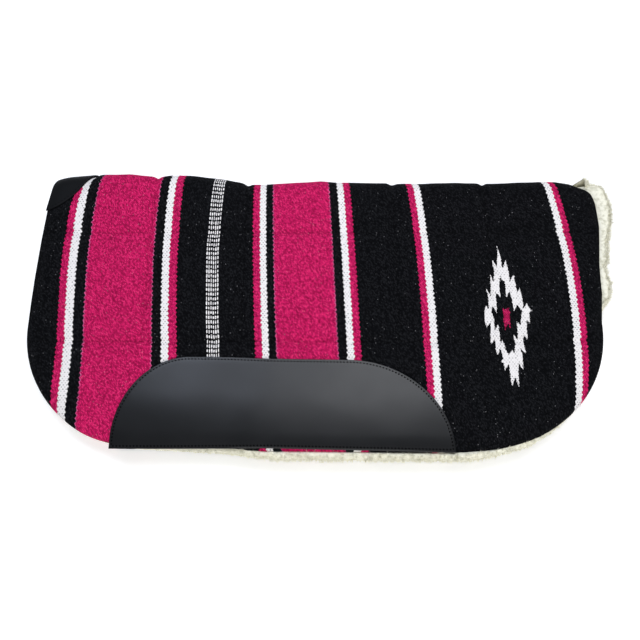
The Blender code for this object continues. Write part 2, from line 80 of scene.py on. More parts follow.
# Sizes read from the frame
COVER_LOW, COVER_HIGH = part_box("near_woven_cover")
SPINE_LOW, SPINE_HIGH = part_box("spine_woven_cover")
WEAR_LOW, WEAR_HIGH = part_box("near_wear_leather")
LONG_THREADS = [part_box(f"near_{name}_quilting_thread") for name in ("upper", "lower")]
CROSS_THREADS = [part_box(f"near_cross_quilting_thread_{n}") for n in (1, 2, 3, 4)]
FRONT, REAR = COVER_LOW.x, COVER_HIGH.x
FACE = (SPINE_HIGH.z - SPINE_LOW.z) / 2         # depth of the cloth face, and radius of the bend
BEND_START = SPINE_HIGH.y - FACE
QUARTER = FACE * math.pi / 2
CREST_Y = QUARTER + BEND_START                  # y of the crest, were the bend rolled out flat
RIM = COVER_LOW.z - FACE                        # depth of the cover's turned down edge
LAST_DROP = CREST_Y - COVER_LOW.y
LONG_SEAMS = [CREST_Y - (low.y + high.y) / 2 for low, high in LONG_THREADS]
CROSS_SEAMS = [(low.x + high.x) / 2 for low, high in CROSS_THREADS]
WEAR_BASE = CREST_Y - WEAR_LOW.y
WEAR_HEIGHT = WEAR_HIGH.y - WEAR_LOW.y
WITHER_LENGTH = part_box("spine_wither_leather")[1].x - FRONT      # along the crest
WITHER_REACH = CREST_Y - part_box("near_wither_leather")[0].y      # down each side

# Outline
CORNER_RADIUS = 0.179
REAR_TAPER = 0.016
CORNER_DROP = LAST_DROP - CORNER_RADIUS
# Soft edges give a little past their CAD lines: drop, and how far they stand out there
FRONT_EASE = ((0, -8), (15, -5.5), (30, -3), (70, 2.2), (120, 4), (180, 4.5), (220, 4), (254, 3))
REAR_EASE = ((0, 4), (57, 8), (97, 11), (159, 9), (205, 10.5), (235, 7.5), (254, 5))
CREST_CUT = 30 * MM             # the rear end of the fold sags in this far, within a short way of the crest
CREST_CUT_DROP = 0.060

# How it lies: x, and how far the cloth is lifted there
CREST_LIFT = (
    (-410, 5), (-338, 12.5), (-290, 13.5), (-254, 11), (-215, 13.5), (-150, 5), (-106, -3.5),
    (0, 0), (136, -3.5), (252, -2), (360, -1), (390, -6),
)
CREST_LIFT_REACH = 0.120        # this far down, the crest's lift is gone
LOWER_LIFT = (
    (-400, 5), (-315, 4.5), (-280, 6.6), (-200, 5.8), (-120, 5.6), (-70, 1.8), (190, 0.2), (250, 5),
    (330, 6), (400, 4),
)
OFF_LIFT = (                    # added to it on the off half, which lies folded a little short
    (-400, 9), (-315, 8.5), (-280, 6), (-200, 4.5), (-120, 2.5), (-70, 3), (190, 3), (250, 5), (330, 7),
    (400, 8),
)

# Cloth over its padding
CLOTH_THICKNESS = 3.0 * MM
EDGE_WIDTH = 22 * MM            # the cloth rounds over this far from its free edges
EDGE_FALL = 5.0 * MM
CREST_END_FALLS = (-3.0 * MM, 5.0 * MM)         # added to it at the fold's front and rear ends
SEAM_DEPTH = 2.6 * MM
SEAM_WIDTH = 5.0 * MM
PILLOW_RISE = 1.4 * MM
PILLOW_WIDTH = 26 * MM
PUCKER_DEPTH, PUCKER_LENGTH, PUCKER_REACH = 0.5 * MM, 17 * MM, 14 * MM
WANDERS = ((0.7 * MM, 110 * MM, 4), (0.3 * MM, 38 * MM, 5))      # uneven padding: height, length, seed
HEM = 5.0 * MM                  # cloth turned under at the rim
LOWER_ROLL = 4.0 * MM           # the padding thins towards the lower edge, from this far up
LOWER_ROLL_REACH = 0.075

# Leathers
LEATHER_THICKNESS = 1.8 * MM
LEATHER_STANDS = 0.7 * MM       # leather's face over the cloth beside it
LEATHER_WANDER, LEATHER_WANDER_LENGTH = 0.25 * MM, 150 * MM
UNDER_LEATHER = 0.9 * MM        # leather's back to the cloth's face below it
PRESS_START, PRESS_WIDTH = 2.5 * MM, 5 * MM     # beside a leather the cloth rises again from here, over this
WEAR_GIVES, WITHER_GIVES = 0.25, 0.75           # shares of the cloth's rounding that each follows
STITCH_INSET = 3.6 * MM
WEAR_FRONT_ARCH = 0.100
WEAR_REAR_ARCH = 0.137
# Sewn on a little askew: x, and how far its arch and its foot lie down there
WEAR_SLANT = ((WEAR_LOW.x / MM, -1.2), (WEAR_HIGH.x / MM, 5))
WEAR_FOOT = ((WEAR_LOW.x / MM, 5.6), (-120, 4.4), (-70, 0.3), (WEAR_HIGH.x / MM, 4.4))
WITHER_ROUNDING = 1.6           # power of its outline: 1 is a triangle, 2 an ellipse


def ease(share):
    """0 below 0 and 1 above 1, joined by a smooth step."""
    share = np.clip(share, 0.0, 1.0)
    return share * share * (3 - 2 * share)


def read_off(table, at):
    """Value at a place, from pairs of place and value in mm with straight lines between them."""
    places, values = np.array(table).T * MM
    return np.interp(at, places, values)


def unit(vectors):
    """The same directions, each 1 long."""
    return vectors / np.maximum(np.linalg.norm(vectors, axis=-1, keepdims=True), 1e-12)


def ripple(a, b, wavelength, seed, waves=14):
    """Soft random relief, about -1 to 1: a mean of cosines in random directions, all near one wavelength."""
    draw = np.random.default_rng(seed)
    angles = draw.uniform(0, math.pi, waves)
    phases = draw.uniform(0, 2 * math.pi, waves)
    total = np.zeros(np.shape(a))
    for angle, phase, stretch in zip(angles, phases, draw.uniform(0.7, 1.4, waves)):
        turn = 2 * math.pi / (wavelength * stretch)
        total += np.cos(turn * (a * math.cos(angle) + b * math.sin(angle)) + phase)
    return total * math.sqrt(2.0 / waves) / 1.6


def scatter(i, j, seed):
    """A fixed random number, 0 to 1, for each pair of whole numbers: the last digits of a large sine."""
    return np.modf(np.abs(np.sin(i * 127.1 + j * 311.7 + seed * 74.7)) * 43758.5453)[0]


def tufts(a, b, size, seed):
    """Domes of about one size packed side by side: 1 - distance**2 / 0.8 from the nearest middle, not under
    0, with the distance as a share of the size."""
    column, row = np.floor(a / size), np.floor(b / size)
    nearest = np.full(np.shape(a), 9.0)
    for i in (-1, 0, 1):
        for j in (-1, 0, 1):
            x = column + i + scatter(column + i, row + j, seed)
            y = row + j + scatter(column + i, row + j, seed + 5)
            nearest = np.minimum(nearest, (a / size - x) ** 2 + (b / size - y) ** 2)
    return np.clip(1 - nearest / 0.8, 0.0, 1.0)


# Places on the pad


def place(side, x, drop, depth):
    """Points in the frame: straight down a half, and round a circle of radius depth over the bend.

    The crest's lift fades by a smooth step on the way down and grows with depth. The lower edge's lift
    comes in by a smooth step over the lower half.
    """
    angle = np.minimum(drop, QUARTER) / FACE
    lift = read_off(CREST_LIFT, x) * ease(1 - drop / CREST_LIFT_REACH) * depth / FACE
    low = read_off(LOWER_LIFT, x) + (side == OFF) * read_off(OFF_LIFT, x)
    low = low * ease((drop - LAST_DROP / 2) / (LAST_DROP / 2))
    y = BEND_START + depth * np.cos(angle) - np.maximum(0.0, drop - QUARTER) + lift + low
    z = FACE + side * depth * np.sin(angle)
    return np.stack([x, y, np.maximum(z, 0.0)], axis=-1)


def placed(side, points):
    """Points in the frame from points of (x, drop, depth)."""
    return place(side, *np.moveaxis(points, -1, 0))


def front_edge(drop):
    """x of the front edge: straight, but for its ease."""
    return FRONT - read_off(FRONT_EASE, drop)


def rear_edge(drop):
    """x of the rear edge: tapered in by a smooth step towards the corner, and by a square at the crest."""
    taper = REAR_TAPER * ease((drop - QUARTER) / (CORNER_DROP - QUARTER))
    cut = CREST_CUT * np.clip(1 - drop / CREST_CUT_DROP, 0, 1) ** 2
    return REAR - taper - cut + read_off(REAR_EASE, drop)


def edge_distance(x, drop):
    """Distance in from the pad's outline: to its straight sides, or to the circles of its lower corners."""
    up = LAST_DROP - drop

    def from_side(across):
        in_corner = (across < CORNER_RADIUS) & (up < CORNER_RADIUS)
        round_edge = CORNER_RADIUS - np.hypot(CORNER_RADIUS - across, CORNER_RADIUS - up)
        return np.where(in_corner, round_edge, np.minimum(across, up))

    return np.minimum(from_side(x - front_edge(drop)), from_side(rear_edge(drop) - x))


def seam_distance(x, drop):
    """Distance from the nearest quilting seam. Cross seams end at the lower long seam."""
    nearest = np.minimum(*(np.abs(drop - seam) for seam in LONG_SEAMS))
    below = np.maximum(0.0, drop - LONG_SEAMS[1])
    for seam in CROSS_SEAMS:
        nearest = np.minimum(nearest, np.hypot(x - seam, below))
    return nearest


def edge_rounding(x, drop):
    """How far a face has fallen towards a free edge, as the square of the way out over EDGE_WIDTH, and how
    much of the quilting shows there, 0 to 1."""
    edge = np.maximum(edge_distance(x, drop), 0.0)
    fall = EDGE_FALL + ease(1 - drop / QUARTER) * np.where(x > 0, CREST_END_FALLS[1], CREST_END_FALLS[0])
    return fall * np.clip(1 - edge / EDGE_WIDTH, 0, 1) ** 2, ease(edge / EDGE_WIDTH)


def lower_roll(drop):
    """How far a face has sunk towards the lower edge: as the square of the way down LOWER_ROLL_REACH."""
    return LOWER_ROLL * np.clip(1 - (LAST_DROP - drop) / LOWER_ROLL_REACH, 0, 1) ** 2


def cloth_depth(x, drop):
    """Depth of the cloth face: rounded over at the edges, with pillows between the seams.

    A seam's valley goes as exp(-(distance / width)**2) and a pillow rises as 1 - exp(-distance / width).
    Small puckers fade out from the seams.
    """
    rounding, inside = edge_rounding(x, drop)
    seam = seam_distance(x, drop)
    valley = SEAM_DEPTH * np.exp(-((seam / SEAM_WIDTH) ** 2))
    pillow = PILLOW_RISE * (1 - np.exp(-seam / PILLOW_WIDTH))
    relief = PUCKER_DEPTH * np.exp(-seam / PUCKER_REACH) * ripple(x, drop, PUCKER_LENGTH, 3)
    relief += sum(height * ripple(x, drop, length, seed) for height, length, seed in WANDERS)
    return FACE - rounding - lower_roll(drop) + inside * (pillow - valley + relief) - PILLOW_RISE / 2


def leather_depth(x, drop):
    """Depth of a leather's face. It is stiff, so it follows only a share of the cloth's rounding."""
    wander = LEATHER_WANDER * ripple(x, drop, LEATHER_WANDER_LENGTH, 9)
    rounding = edge_rounding(x, drop)[0] * np.where(drop > LAST_DROP / 2, WEAR_GIVES, WITHER_GIVES)
    return FACE - rounding - lower_roll(drop) + LEATHER_STANDS + wander


def wear_slant(x):
    """How far down the wear leather's arch lies at x."""
    return read_off(WEAR_SLANT, x)


def wear_foot(x):
    """How far down the wear leather's foot lies at x."""
    return read_off(WEAR_FOOT, x)


def arch_distance(x, drop):
    """Distance out from the wear leather's arch, negative on the leather.

    In each quarter ellipse, share is the way out from its middle, 1 on the line, and the distance is about
    share - 1 over its slope there.
    """
    front, rear = WEAR_LOW.x + WEAR_FRONT_ARCH, WEAR_HIGH.x - WEAR_REAR_ARCH
    across = np.where(x < front, (front - x) / WEAR_FRONT_ARCH, np.maximum(0.0, x - rear) / WEAR_REAR_ARCH)
    length = np.where(x < front, WEAR_FRONT_ARCH, WEAR_REAR_ARCH)
    up = np.maximum(0.0, WEAR_BASE + wear_slant(x) - drop) / WEAR_HEIGHT
    share = np.hypot(across, up)
    slope = np.hypot(across / length, up / WEAR_HEIGHT) / np.maximum(share, 1e-9)
    return (share - 1) / np.maximum(slope, 1e-3)


def wither_distance(x, drop):
    """About the distance out from the wither leather's curved edge, negative on the leather. Its outline is
    where (x / length)**power + (drop / reach)**power is 1."""
    along, down = np.maximum(x - FRONT, 0) / WITHER_LENGTH, drop / WITHER_REACH
    share = (along**WITHER_ROUNDING + down**WITHER_ROUNDING) ** (1 / WITHER_ROUNDING)
    return (share - 1) * 0.75 * min(WITHER_LENGTH, WITHER_REACH)


def cover_depth(x, drop):
    """Depth of the cover's face, pressed in under the leathers by a smooth step beside their edges."""
    depth = cloth_depth(x, drop)
    pressed = leather_depth(x, drop) - LEATHER_THICKNESS - UNDER_LEATHER
    nearest = np.minimum(arch_distance(x, drop), wither_distance(x, drop))
    return depth + (pressed - depth) * ease(1 - (nearest - PRESS_START) / PRESS_WIDTH)


# Outlines as four sides, each a dense line of (x, drop) from the crest down and from the front to the rear

ARC_POINTS = 60
MID_ARC = ARC_POINTS // 2 - 1


def walk(line, shares):
    """Points at shares of a line's length."""
    line = np.asarray(line)
    length = np.concatenate([[0.0], np.cumsum(np.hypot(*np.diff(line, axis=0).T))])
    return np.stack([np.interp(shares * length[-1], length, line[:, k]) for k in (0, 1)], axis=1)


def arc(x, drop, radius_x, radius_drop, first, last):
    """Part of an ellipse round (x, drop), from one angle to another."""
    angle = np.linspace(first, last, ARC_POINTS)
    return np.stack([x + radius_x * np.cos(angle), drop + radius_drop * np.sin(angle)], axis=1)


def split(line, at):
    """A line's two parts, which share the point where they meet."""
    return line[: at + 1], line[at:]


def pad_sides(growth):
    """The half's outline grown by a distance: straight sides, and round corners of the same middle."""
    radius = CORNER_RADIUS + growth
    drops = np.linspace(0, CORNER_DROP, 150)
    lines = []
    for edge, out, first in ((front_edge, -1, math.pi), (rear_edge, 1, 0)):
        middle = edge(CORNER_DROP) - out * CORNER_RADIUS
        beside, below = split(arc(middle, CORNER_DROP, radius, radius, first, math.pi / 2), MID_ARC)
        straight = np.stack([edge(drops) + out * growth, drops], axis=1)
        lines += [np.concatenate([straight, beside[1:]]), below]
    left, front_corner, right, rear_corner = lines
    bottom = np.concatenate([front_corner, rear_corner[::-1]])
    return {"left": left, "right": right, "bottom": bottom, "top": np.stack([left[0], right[0]])}


def wear_sides(growth):
    """Wear leather's outline: a nearly straight foot, with the arch's two quarter ellipses above."""
    height = WEAR_HEIGHT + growth
    lines = []
    for end, out, arch in ((WEAR_LOW.x, -1, WEAR_FRONT_ARCH), (WEAR_HIGH.x, 1, WEAR_REAR_ARCH)):
        first = math.asin(max(0.0, wear_slant(end) - wear_foot(end) - growth) / height)
        line = arc(end - out * arch, WEAR_BASE, out * (arch + growth), -height, first, math.pi / 2)
        line[:, 1] += wear_slant(line[:, 0])
        foot = (line[0, 0], WEAR_BASE + wear_foot(line[0, 0]) + growth)
        lines += split(np.concatenate([[foot], line]), MID_ARC + 1)
    front, front_top, rear, rear_top = lines
    x = np.linspace(front[0, 0], rear[0, 0], ARC_POINTS)
    bottom = np.stack([x, WEAR_BASE + wear_foot(x) + growth], axis=1)
    bottom[0], bottom[-1] = front[0], rear[0]
    top = np.concatenate([front_top, rear_top[::-1]])
    return {"left": front[::-1], "right": rear[::-1], "bottom": bottom, "top": top}


def wither_sides(growth):
    """Half of the wither leather: the crest, the pad's front edge, and a rounded diagonal between them, with
    x as cos(angle)**(2 / power) and drop as sin(angle)**(2 / power)."""
    length, reach = WITHER_LENGTH + growth, WITHER_REACH + growth
    power = 2 / WITHER_ROUNDING
    last = math.acos((-growth / length) ** (1 / power)) if growth < 0 else math.pi / 2
    angle = np.linspace(0, last, ARC_POINTS)
    across, down = np.clip(np.cos(angle), 0, 1) ** power, np.sin(angle) ** power
    curve = np.stack([FRONT + length * across, reach * down], axis=1)
    drops = np.linspace(0, curve[-1, 1], 20)
    front = np.stack([front_edge(drops) - growth, drops], axis=1)
    curve[-1] = front[-1]
    right, bottom = split(curve, MID_ARC)
    return {"left": front, "right": right, "bottom": bottom[::-1], "top": np.stack([front[0], curve[0]])}


def loop(sides, u, v, closed):
    """The outline's points: down the left side, along the bottom, up the right and, if closed, back."""
    left, right = walk(sides["left"], v), walk(sides["right"], v)
    bottom, top = walk(sides["bottom"], u), walk(sides["top"], u)
    parts = [left, bottom[1:], right[-2::-1]]
    return np.concatenate(parts + ([top[-2:0:-1]] if closed else []))


def coons(sides, u, v):
    """Grid that fills four sides: the sides blended across and down, less the corners counted twice."""
    left, right = walk(sides["left"], v)[:, None], walk(sides["right"], v)[:, None]
    bottom, top = walk(sides["bottom"], u)[None], walk(sides["top"], u)[None]
    across, down = u[None, :, None], v[:, None, None]
    corners = (1 - down) * ((1 - across) * top[:, :1] + across * top[:, -1:])
    corners = corners + down * ((1 - across) * bottom[:, :1] + across * bottom[:, -1:])
    return (1 - down) * top + down * bottom + (1 - across) * left + across * right - corners


def stations(length, step, fine_from=0.0, fine_to=0.0, fine_step=1.0):
    """Shares of a length, a step apart, with finer steps over one stretch."""
    at = np.linspace(0, length, 4000)
    fine = (at[:-1] >= fine_from) & (at[:-1] < fine_to)
    steps = np.where(fine, 1 / fine_step, 1 / step) * length / (len(at) - 1)
    count = np.concatenate([[0.0], np.cumsum(steps)])
    return np.interp(np.linspace(0, count[-1], int(round(count[-1])) + 1), count, at) / length


# Meshes


def quads(first, second):
    """Faces between two rows of point numbers."""
    return np.stack([first[:-1], first[1:], second[1:], second[:-1]], axis=1)


def rim_of(grid, closed):
    """Point numbers round a grid, in the order of loop()."""
    parts = [grid[:, 0], grid[-1, 1:], grid[-2::-1, -1]]
    return np.concatenate(parts + ([grid[0, -2:0:-1]] if closed else []))


class Shell:
    """Closed piece: a face, rings of points round its rim, and a back. Left open at the crest, it gets a cap
    there. Its points are (x, drop, depth)."""

    def __init__(self, face, closed):
        rows, columns = face.shape[:2]
        self.closed, self.rows = closed, rows
        self.points = [face.reshape(-1, 3)]
        self.grid = np.arange(rows * columns).reshape(rows, columns)
        self.count = rows * columns
        self.faces = [quads(a, b) for a, b in zip(self.grid, self.grid[1:])]
        self.polygons = []
        self.rings = [rim_of(self.grid, closed)]

    def add_ring(self, ring):
        """One more ring of points, joined to the last one."""
        numbers = self.count + np.arange(len(ring))
        self.points.append(ring)
        self.count += len(ring)
        self.faces.append(self.bridge(self.rings[-1], numbers))
        self.rings.append(numbers)

    def bridge(self, first, second):
        """Faces between two rings."""
        if self.closed:
            first, second = np.append(first, first[0]), np.append(second, second[0])
        return quads(first, second)

    def crest_ends(self):
        """Point numbers of the rings' two ends, out from the face and back to it."""
        return [ring[-1] for ring in self.rings[1:]], [ring[0] for ring in self.rings[:0:-1]]

    def close_with_grid(self, back):
        """A back of the same grid as the face, behind it."""
        grid = self.count + self.grid
        self.points.append(back.reshape(-1, 3))
        self.count += grid.size
        self.faces += [quads(a, b) for a, b in zip(grid, grid[1:])]
        self.faces.append(self.bridge(self.rings[-1], rim_of(grid, self.closed)))
        if not self.closed:
            rear_ends, front_ends = self.crest_ends()
            self.polygons.append([*self.grid[0], *rear_ends, *grid[0][::-1], *front_ends])

    def close_with_slats(self):
        """A back of one long face for each pair of rows, for a piece whose back stays out of sight."""
        ring, last = self.rings[-1], self.rows - 1
        self.faces.append(quads(ring[: last + 1], ring[::-1][: last + 1]))
        self.polygons.append(list(ring[last : len(ring) - last]))
        rear_ends, front_ends = self.crest_ends()
        self.polygons.append([*self.grid[0], *rear_ends, *front_ends])


def tubes(centre, across, out, radius, sides):
    """Points, faces and end caps of round tubes, one along each row of middles.

    Round a middle, the points lie at radius * (cos(turn) * across + sin(turn) * out).
    """
    turn = np.linspace(0, 2 * math.pi, sides, endpoint=False)[:, None]
    round_it = np.cos(turn) * across[:, :, None] + np.sin(turn) * out[:, :, None]
    points = centre[:, :, None] + radius[:, None, None] * round_it
    numbers = np.arange(points.size // 3).reshape(points.shape[:3])
    ring = np.concatenate([numbers, numbers[:, :, :1]], axis=2)
    faces = np.stack([ring[:, :-1, :-1], ring[:, :-1, 1:], ring[:, 1:, 1:], ring[:, 1:, :-1]], axis=-1)
    caps = np.concatenate([numbers[:, 0], numbers[:, -1]])
    return points.reshape(-1, 3), faces.reshape(-1, 4), caps


def make_piece(name, points, faces, polygons, material, slot, replaced, attributes, sharp=40):
    """Mesh object in the frame, with smooth faces pointing out."""
    mesh = bpy.data.meshes.new(name)
    polygons = [[int(number) for number in polygon] for polygon in polygons]
    mesh.from_pydata(points.tolist(), [], np.concatenate(faces).tolist() + polygons)
    for key, values in attributes.items():
        stored = mesh.attributes.new(key, "FLOAT_VECTOR", "POINT")
        stored.data.foreach_set("vector", values.astype(np.float32).ravel())
    work = bmesh.new()
    work.from_mesh(mesh)
    bmesh.ops.recalc_face_normals(work, faces=work.faces)
    work.to_mesh(mesh)
    work.free()
    mesh.materials.append(material)
    mesh.shade_smooth()
    mesh.set_sharp_from_angle(angle=math.radians(sharp))
    piece = bpy.data.objects.new(name, mesh)
    bpy.context.scene.collection.objects.link(piece)
    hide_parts(*replaced)
    return piece


def with_depth(flat, depth):
    """Points of (x, drop) with their depths."""
    return np.concatenate([flat, np.broadcast_to(np.asarray(depth), flat.shape[:-1])[..., None]], axis=-1)


def shell_piece(shell, name, side, material, slot, nodes, woven=False, sharp=40):
    """Piece from a shell. A woven one carries what the cloth's material reads."""
    flat = np.concatenate(shell.points)
    attributes = weave_attributes(flat, side) if woven else {}
    mesh = placed(side, flat), shell.faces, shell.polygons
    return make_piece(name, *mesh, material, slot, nodes, attributes, sharp)


def bend_with_fold(piece, side):
    """Bakes the piece's transform into its mesh, the same on either side."""
    if side == NEAR:
        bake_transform(piece)
    else:
        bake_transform(piece)


# Woven pattern

# x where each stripe begins, at the height of the picture's middle
STRIPES = (
    (-365.4, "pink"), (-355.3, "white"), (-343.9, "black"),
    (-329.2, "pale"), (-328.2, "pink"), (-235.6, "pale"), (-234.6, "black"),
    (-221.5, "white"), (-211.6, "pink"), (-200.3, "black"),
    (-91.8, "pink"), (-81.8, "white"), (-72.9, "black"),
    (-62.5, "pale"), (-61.5, "pink"), (22.1, "pale"), (23.1, "black"),
    (35.5, "white"), (44.8, "pink"), (54.7, "black"), (142.5, "pink"), (152, "white"), (161.6, "black"),
    (351.4, "white"), (360.8, "pink"), (369.6, "black"),
)
YARNS = {"black": "#0a0b0e", "pink": "#c41b5a", "pale": "#c55a8a", "white": "#f0ecea"}
HEART_YARN = "#b01a50"
YARN_WIDTH = 1.5 * MM           # coarser than the real yarn, so that it shows from a step away
YARN_LENGTH = 2.2 * MM
YARN_SLANT = 0.42               # floats of yarn lean this much from the stripes
YARN_END = 0.9 * MM             # and end at random within this
TOOTH_LENGTH = 7.0 * MM         # stripes' edges waver in teeth as yarns turn back
TOOTH_DEPTH = 1.0 * MM
TOOTH_BAND = 12 * MM            # teeth in bands this wide are in step
THREAD = 0.9 * MM               # steps of the diamond's outline, and lint
JAG = 1.4 * MM                  # how deep those steps are
LINT_LENGTH = 1.3 * MM
GAP_COLUMN, GAP_ROW = 4.4 * MM, 3.0 * MM        # painted shade in gaps between white yarns, staggered
GAP_RADIUS = 0.95 * MM
GAP_PAINTED_SHADE = 0.62                # the darkest gap's painted shade takes this share of the white
CHECK_START = -0.1593
CHECK_COLUMNS = 6
CHECK_COLUMN = 3.1 * MM
CHECK_ROW = 7.1 * MM
CHECK_LEAN = 0.044              # it leans back by this much towards the crest
CHECK_CROWD, CHECK_CROWD_REACH = 15 * MM, 30 * MM       # its rows lie closer together there
SEAM_PAINTED_SHADE = (0.2 * MM, 2.4 * MM, 0.70, 1.0)            # painted shade in a seam's crease: from its thread out, and the painted shade there
FAR_FROM_SEAM = 20 * MM         # distances from a seam are told up to here

PICTURE_MIDDLE = 0.181 + COVER_LOW.y            # y in the middle of the photograph
LEAN_DROP = CREST_Y - PICTURE_MIDDLE - 0.110    # nearer the crest than this the checked stripe leans
# How the stripes drift over the pad as the cloth pulls, found from where they run in the photograph
DRIFT_LENGTH, DRIFT_HEIGHT = 0.400, 0.200
DRIFT = ((-9.1, 13.4, 6.2), (1.9, -8, -15.2), (-1.4, -9.7, 10.4))
DIAMOND_X, DIAMOND_Y = 0.262, PICTURE_MIDDLE + 0.009
# Corners of the diamond's white band and pink heart, read off the photograph in mm from its middle
DIAMOND_OUTSIDE = (
    (-5.5, 106), (-1, 88), (-0.5, 69), (5.5, 82.5), (7.5, 70.5), (8, 49), (15, 60), (16, 47),
    (16.5, 30), (21, 39.5), (23, 28.5), (23, 8.5), (29, 16), (31, 9), (35, 5), (30.5, 3), (30, -16),
    (26, -8.5), (24.5, -23.5), (24.5, -39), (20, -30.5), (18.5, -42.5), (19.5, -60), (13, -51.5),
    (14.5, -67), (13, -82.5), (8, -74), (6, -89.5), (5, -108), (1.5, -94.5), (-4.5, -108), (-5, -84),
    (-5.5, -74), (-12, -84.5), (-12, -73.5), (-15.5, -71.5), (-12, -67.5), (-13.5, -57), (-15, -51.5),
    (-19, -62), (-21, -51.5), (-20, -35.5), (-25.5, -44.5), (-26.5, -31), (-24, -11), (-30.5, -20.5),
    (-32.5, -10.5), (-31, 7.5), (-28.5, 12.5), (-25.5, 4.5), (-24.5, 25.5), (-26, 37.5), (-21, 27),
    (-19, 47), (-18.5, 60), (-13.5, 50), (-12, 65.5), (-12.5, 84), (-8, 73), (-5, 89.5),
)
DIAMOND_INSIDE = (
    (-4.5, 59), (-2.5, 51.5), (1, 50), (1.5, 38), (0.5, 24), (6.5, 35), (8, 25.5), (10, 4.5),
    (14.5, 14.5), (21, 4.5), (18, -9), (16.5, -18), (12, -11), (11.5, -26.5), (11.5, -39.5), (6, -32),
    (7, -45.5), (3.5, -60.5), (1.5, -54), (-4.5, -61.5), (-8, -52.5), (-9.5, -38), (-13.5, -43),
    (-13.5, -28), (-13, -14), (-19.5, -24.5), (-19.5, -7.5), (-22, 3.5), (-19, 13.5), (-14, 2.5),
    (-13, 18), (-13, 35), (-7, 25.5), (-7.5, 42.5),
)
HEART = (
    (-6.5, 9.5), (-3, 6.5), (2.5, 9.5), (3.5, 1.5), (2.5, -10.5), (2, -22), (-0.5, -12.5), (-5.5, -25.5),
    (-6, -12), (-5.5, 0),
)


def woven_place(x, drop):
    """x where each point lay on the loom, which is x less the drift there, found in four rounds.

    The drift in mm is the sum of q**k * (a + b * u + c * u**2) over k = 1, 2, 3 with the rows (a, b, c) of
    DRIFT, where u is the place on the loom and q the height over the picture's middle, as shares.
    """
    q = (CREST_Y - drop - PICTURE_MIDDLE) / DRIFT_HEIGHT
    woven = x
    for _ in range(4):
        u = woven / DRIFT_LENGTH
        drift = sum(q**k * (a + b * u + c * u**2) for k, (a, b, c) in enumerate(DRIFT, 1))
        woven = x - drift * MM
    return woven


def outline_distance(x, y, corners):
    """Distance out from a closed outline, negative within: to its nearest side, with the sign from how many
    sides lie straight to the right of the point."""
    corners = np.array(corners)
    nearest = np.full(np.shape(x), 99.0)
    within = np.zeros(np.shape(x), bool)
    for (x0, y0), (x1, y1) in zip(corners, np.roll(corners, -1, axis=0)):
        along_x, along_y = x1 - x0, y1 - y0
        share = ((x - x0) * along_x + (y - y0) * along_y) / (along_x**2 + along_y**2)
        share = np.clip(share, 0, 1)
        nearest = np.minimum(nearest, np.hypot(x - x0 - share * along_x, y - y0 - share * along_y))
        if along_y:
            within ^= ((y0 > y) != (y1 > y)) & (x < x0 + (y - y0) * along_x / along_y)
    return np.where(within, -nearest, nearest)


def weave_attributes(flat, side):
    """What the cloth's material reads at each point: its place on the loom, and its distances out from the
    diamond's white band, from the pink heart and from the nearest seam, along which shade is painted."""
    x, drop = flat[:, 0], flat[:, 1]
    a, b = (x - DIAMOND_X) / MM, (CREST_Y - drop - DIAMOND_Y) / MM
    white = np.maximum(outline_distance(a, b, DIAMOND_OUTSIDE), -outline_distance(a, b, DIAMOND_INSIDE)) * MM
    pink = outline_distance(a, b, HEART) * MM
    seam = np.minimum(seam_distance(x, drop), FAR_FROM_SEAM)
    return {
        "weave": np.stack([woven_place(x, drop), drop * side, np.zeros(len(x))], axis=1),
        "figure": np.stack([white, pink, seam], axis=1),
    }


# Materials


def linear(colour):
    """Linear light from an sRGB hex colour."""
    parts = [int(colour[k : k + 2], 16) / 255 for k in (1, 3, 5)]
    return (*[c / 12.92 if c <= 0.04045 else ((c + 0.055) / 1.055) ** 2.4 for c in parts], 1.0)


def new_material(name):
    """A material, the function that adds nodes to it, and its shader."""
    made = bpy.data.materials.new(name)
    made.use_nodes = True
    return made, functools.partial(add, made.node_tree), made.node_tree.nodes["Principled BSDF"]


def set_inputs(node, inputs):
    """Give a node its inputs by number or name, each a value or another node's output."""
    for key, value in inputs.items():
        if isinstance(value, bpy.types.NodeSocket):
            node.id_data.links.new(value, node.inputs[key])
        else:
            node.inputs[key].default_value = value


def add(tree, kind, *inputs, out=0, **settings):
    """New node of a kind, whose operation may follow a dot, with its inputs in order or in one dictionary.
    Gives one of its outputs."""
    kind, _, operation = kind.partition(".")
    node = tree.nodes.new(f"ShaderNode{kind}")
    if operation:
        node.operation = operation
    for name, value in settings.items():
        setattr(node, name, value)
    in_dictionary = bool(inputs) and isinstance(inputs[0], dict)
    set_inputs(node, inputs[0] if in_dictionary else dict(enumerate(inputs)))
    return node.outputs[out]


def chance(node, column, row, seed=0.0):
    """A random number, 0 to 1, for each cell."""
    return node("TexWhiteNoise", {"Vector": node("CombineXYZ", column, row, seed)})


def from_middle(node, place_in_cells):
    """Distance from the middle of a cell, 0 to 0.5."""
    return node("Math.ABSOLUTE", node("Math.SUBTRACT", node("Math.FRACT", place_in_cells), 0.5))


def in_round(node, across, along, power):
    """1 where across**power + along**power is less than 1, else 0."""
    powers = [node("Math.POWER", value, power) for value in (across, along)]
    return node("Math.LESS_THAN", node("Math.ADD", *powers), 1.0)


def product(node, *factors):
    """The product of its factors."""
    total = factors[0]
    for factor in factors[1:]:
        total = node("Math.MULTIPLY", total, factor)
    return total


def laid_over(node, colour, *layers):
    """A colour with layers mixed over it in turn, each a share and a hex colour."""
    for share, above in layers:
        colour = node("Mix", {0: share, 6: colour, 7: linear(above)}, out=2, data_type="RGBA")
    return colour


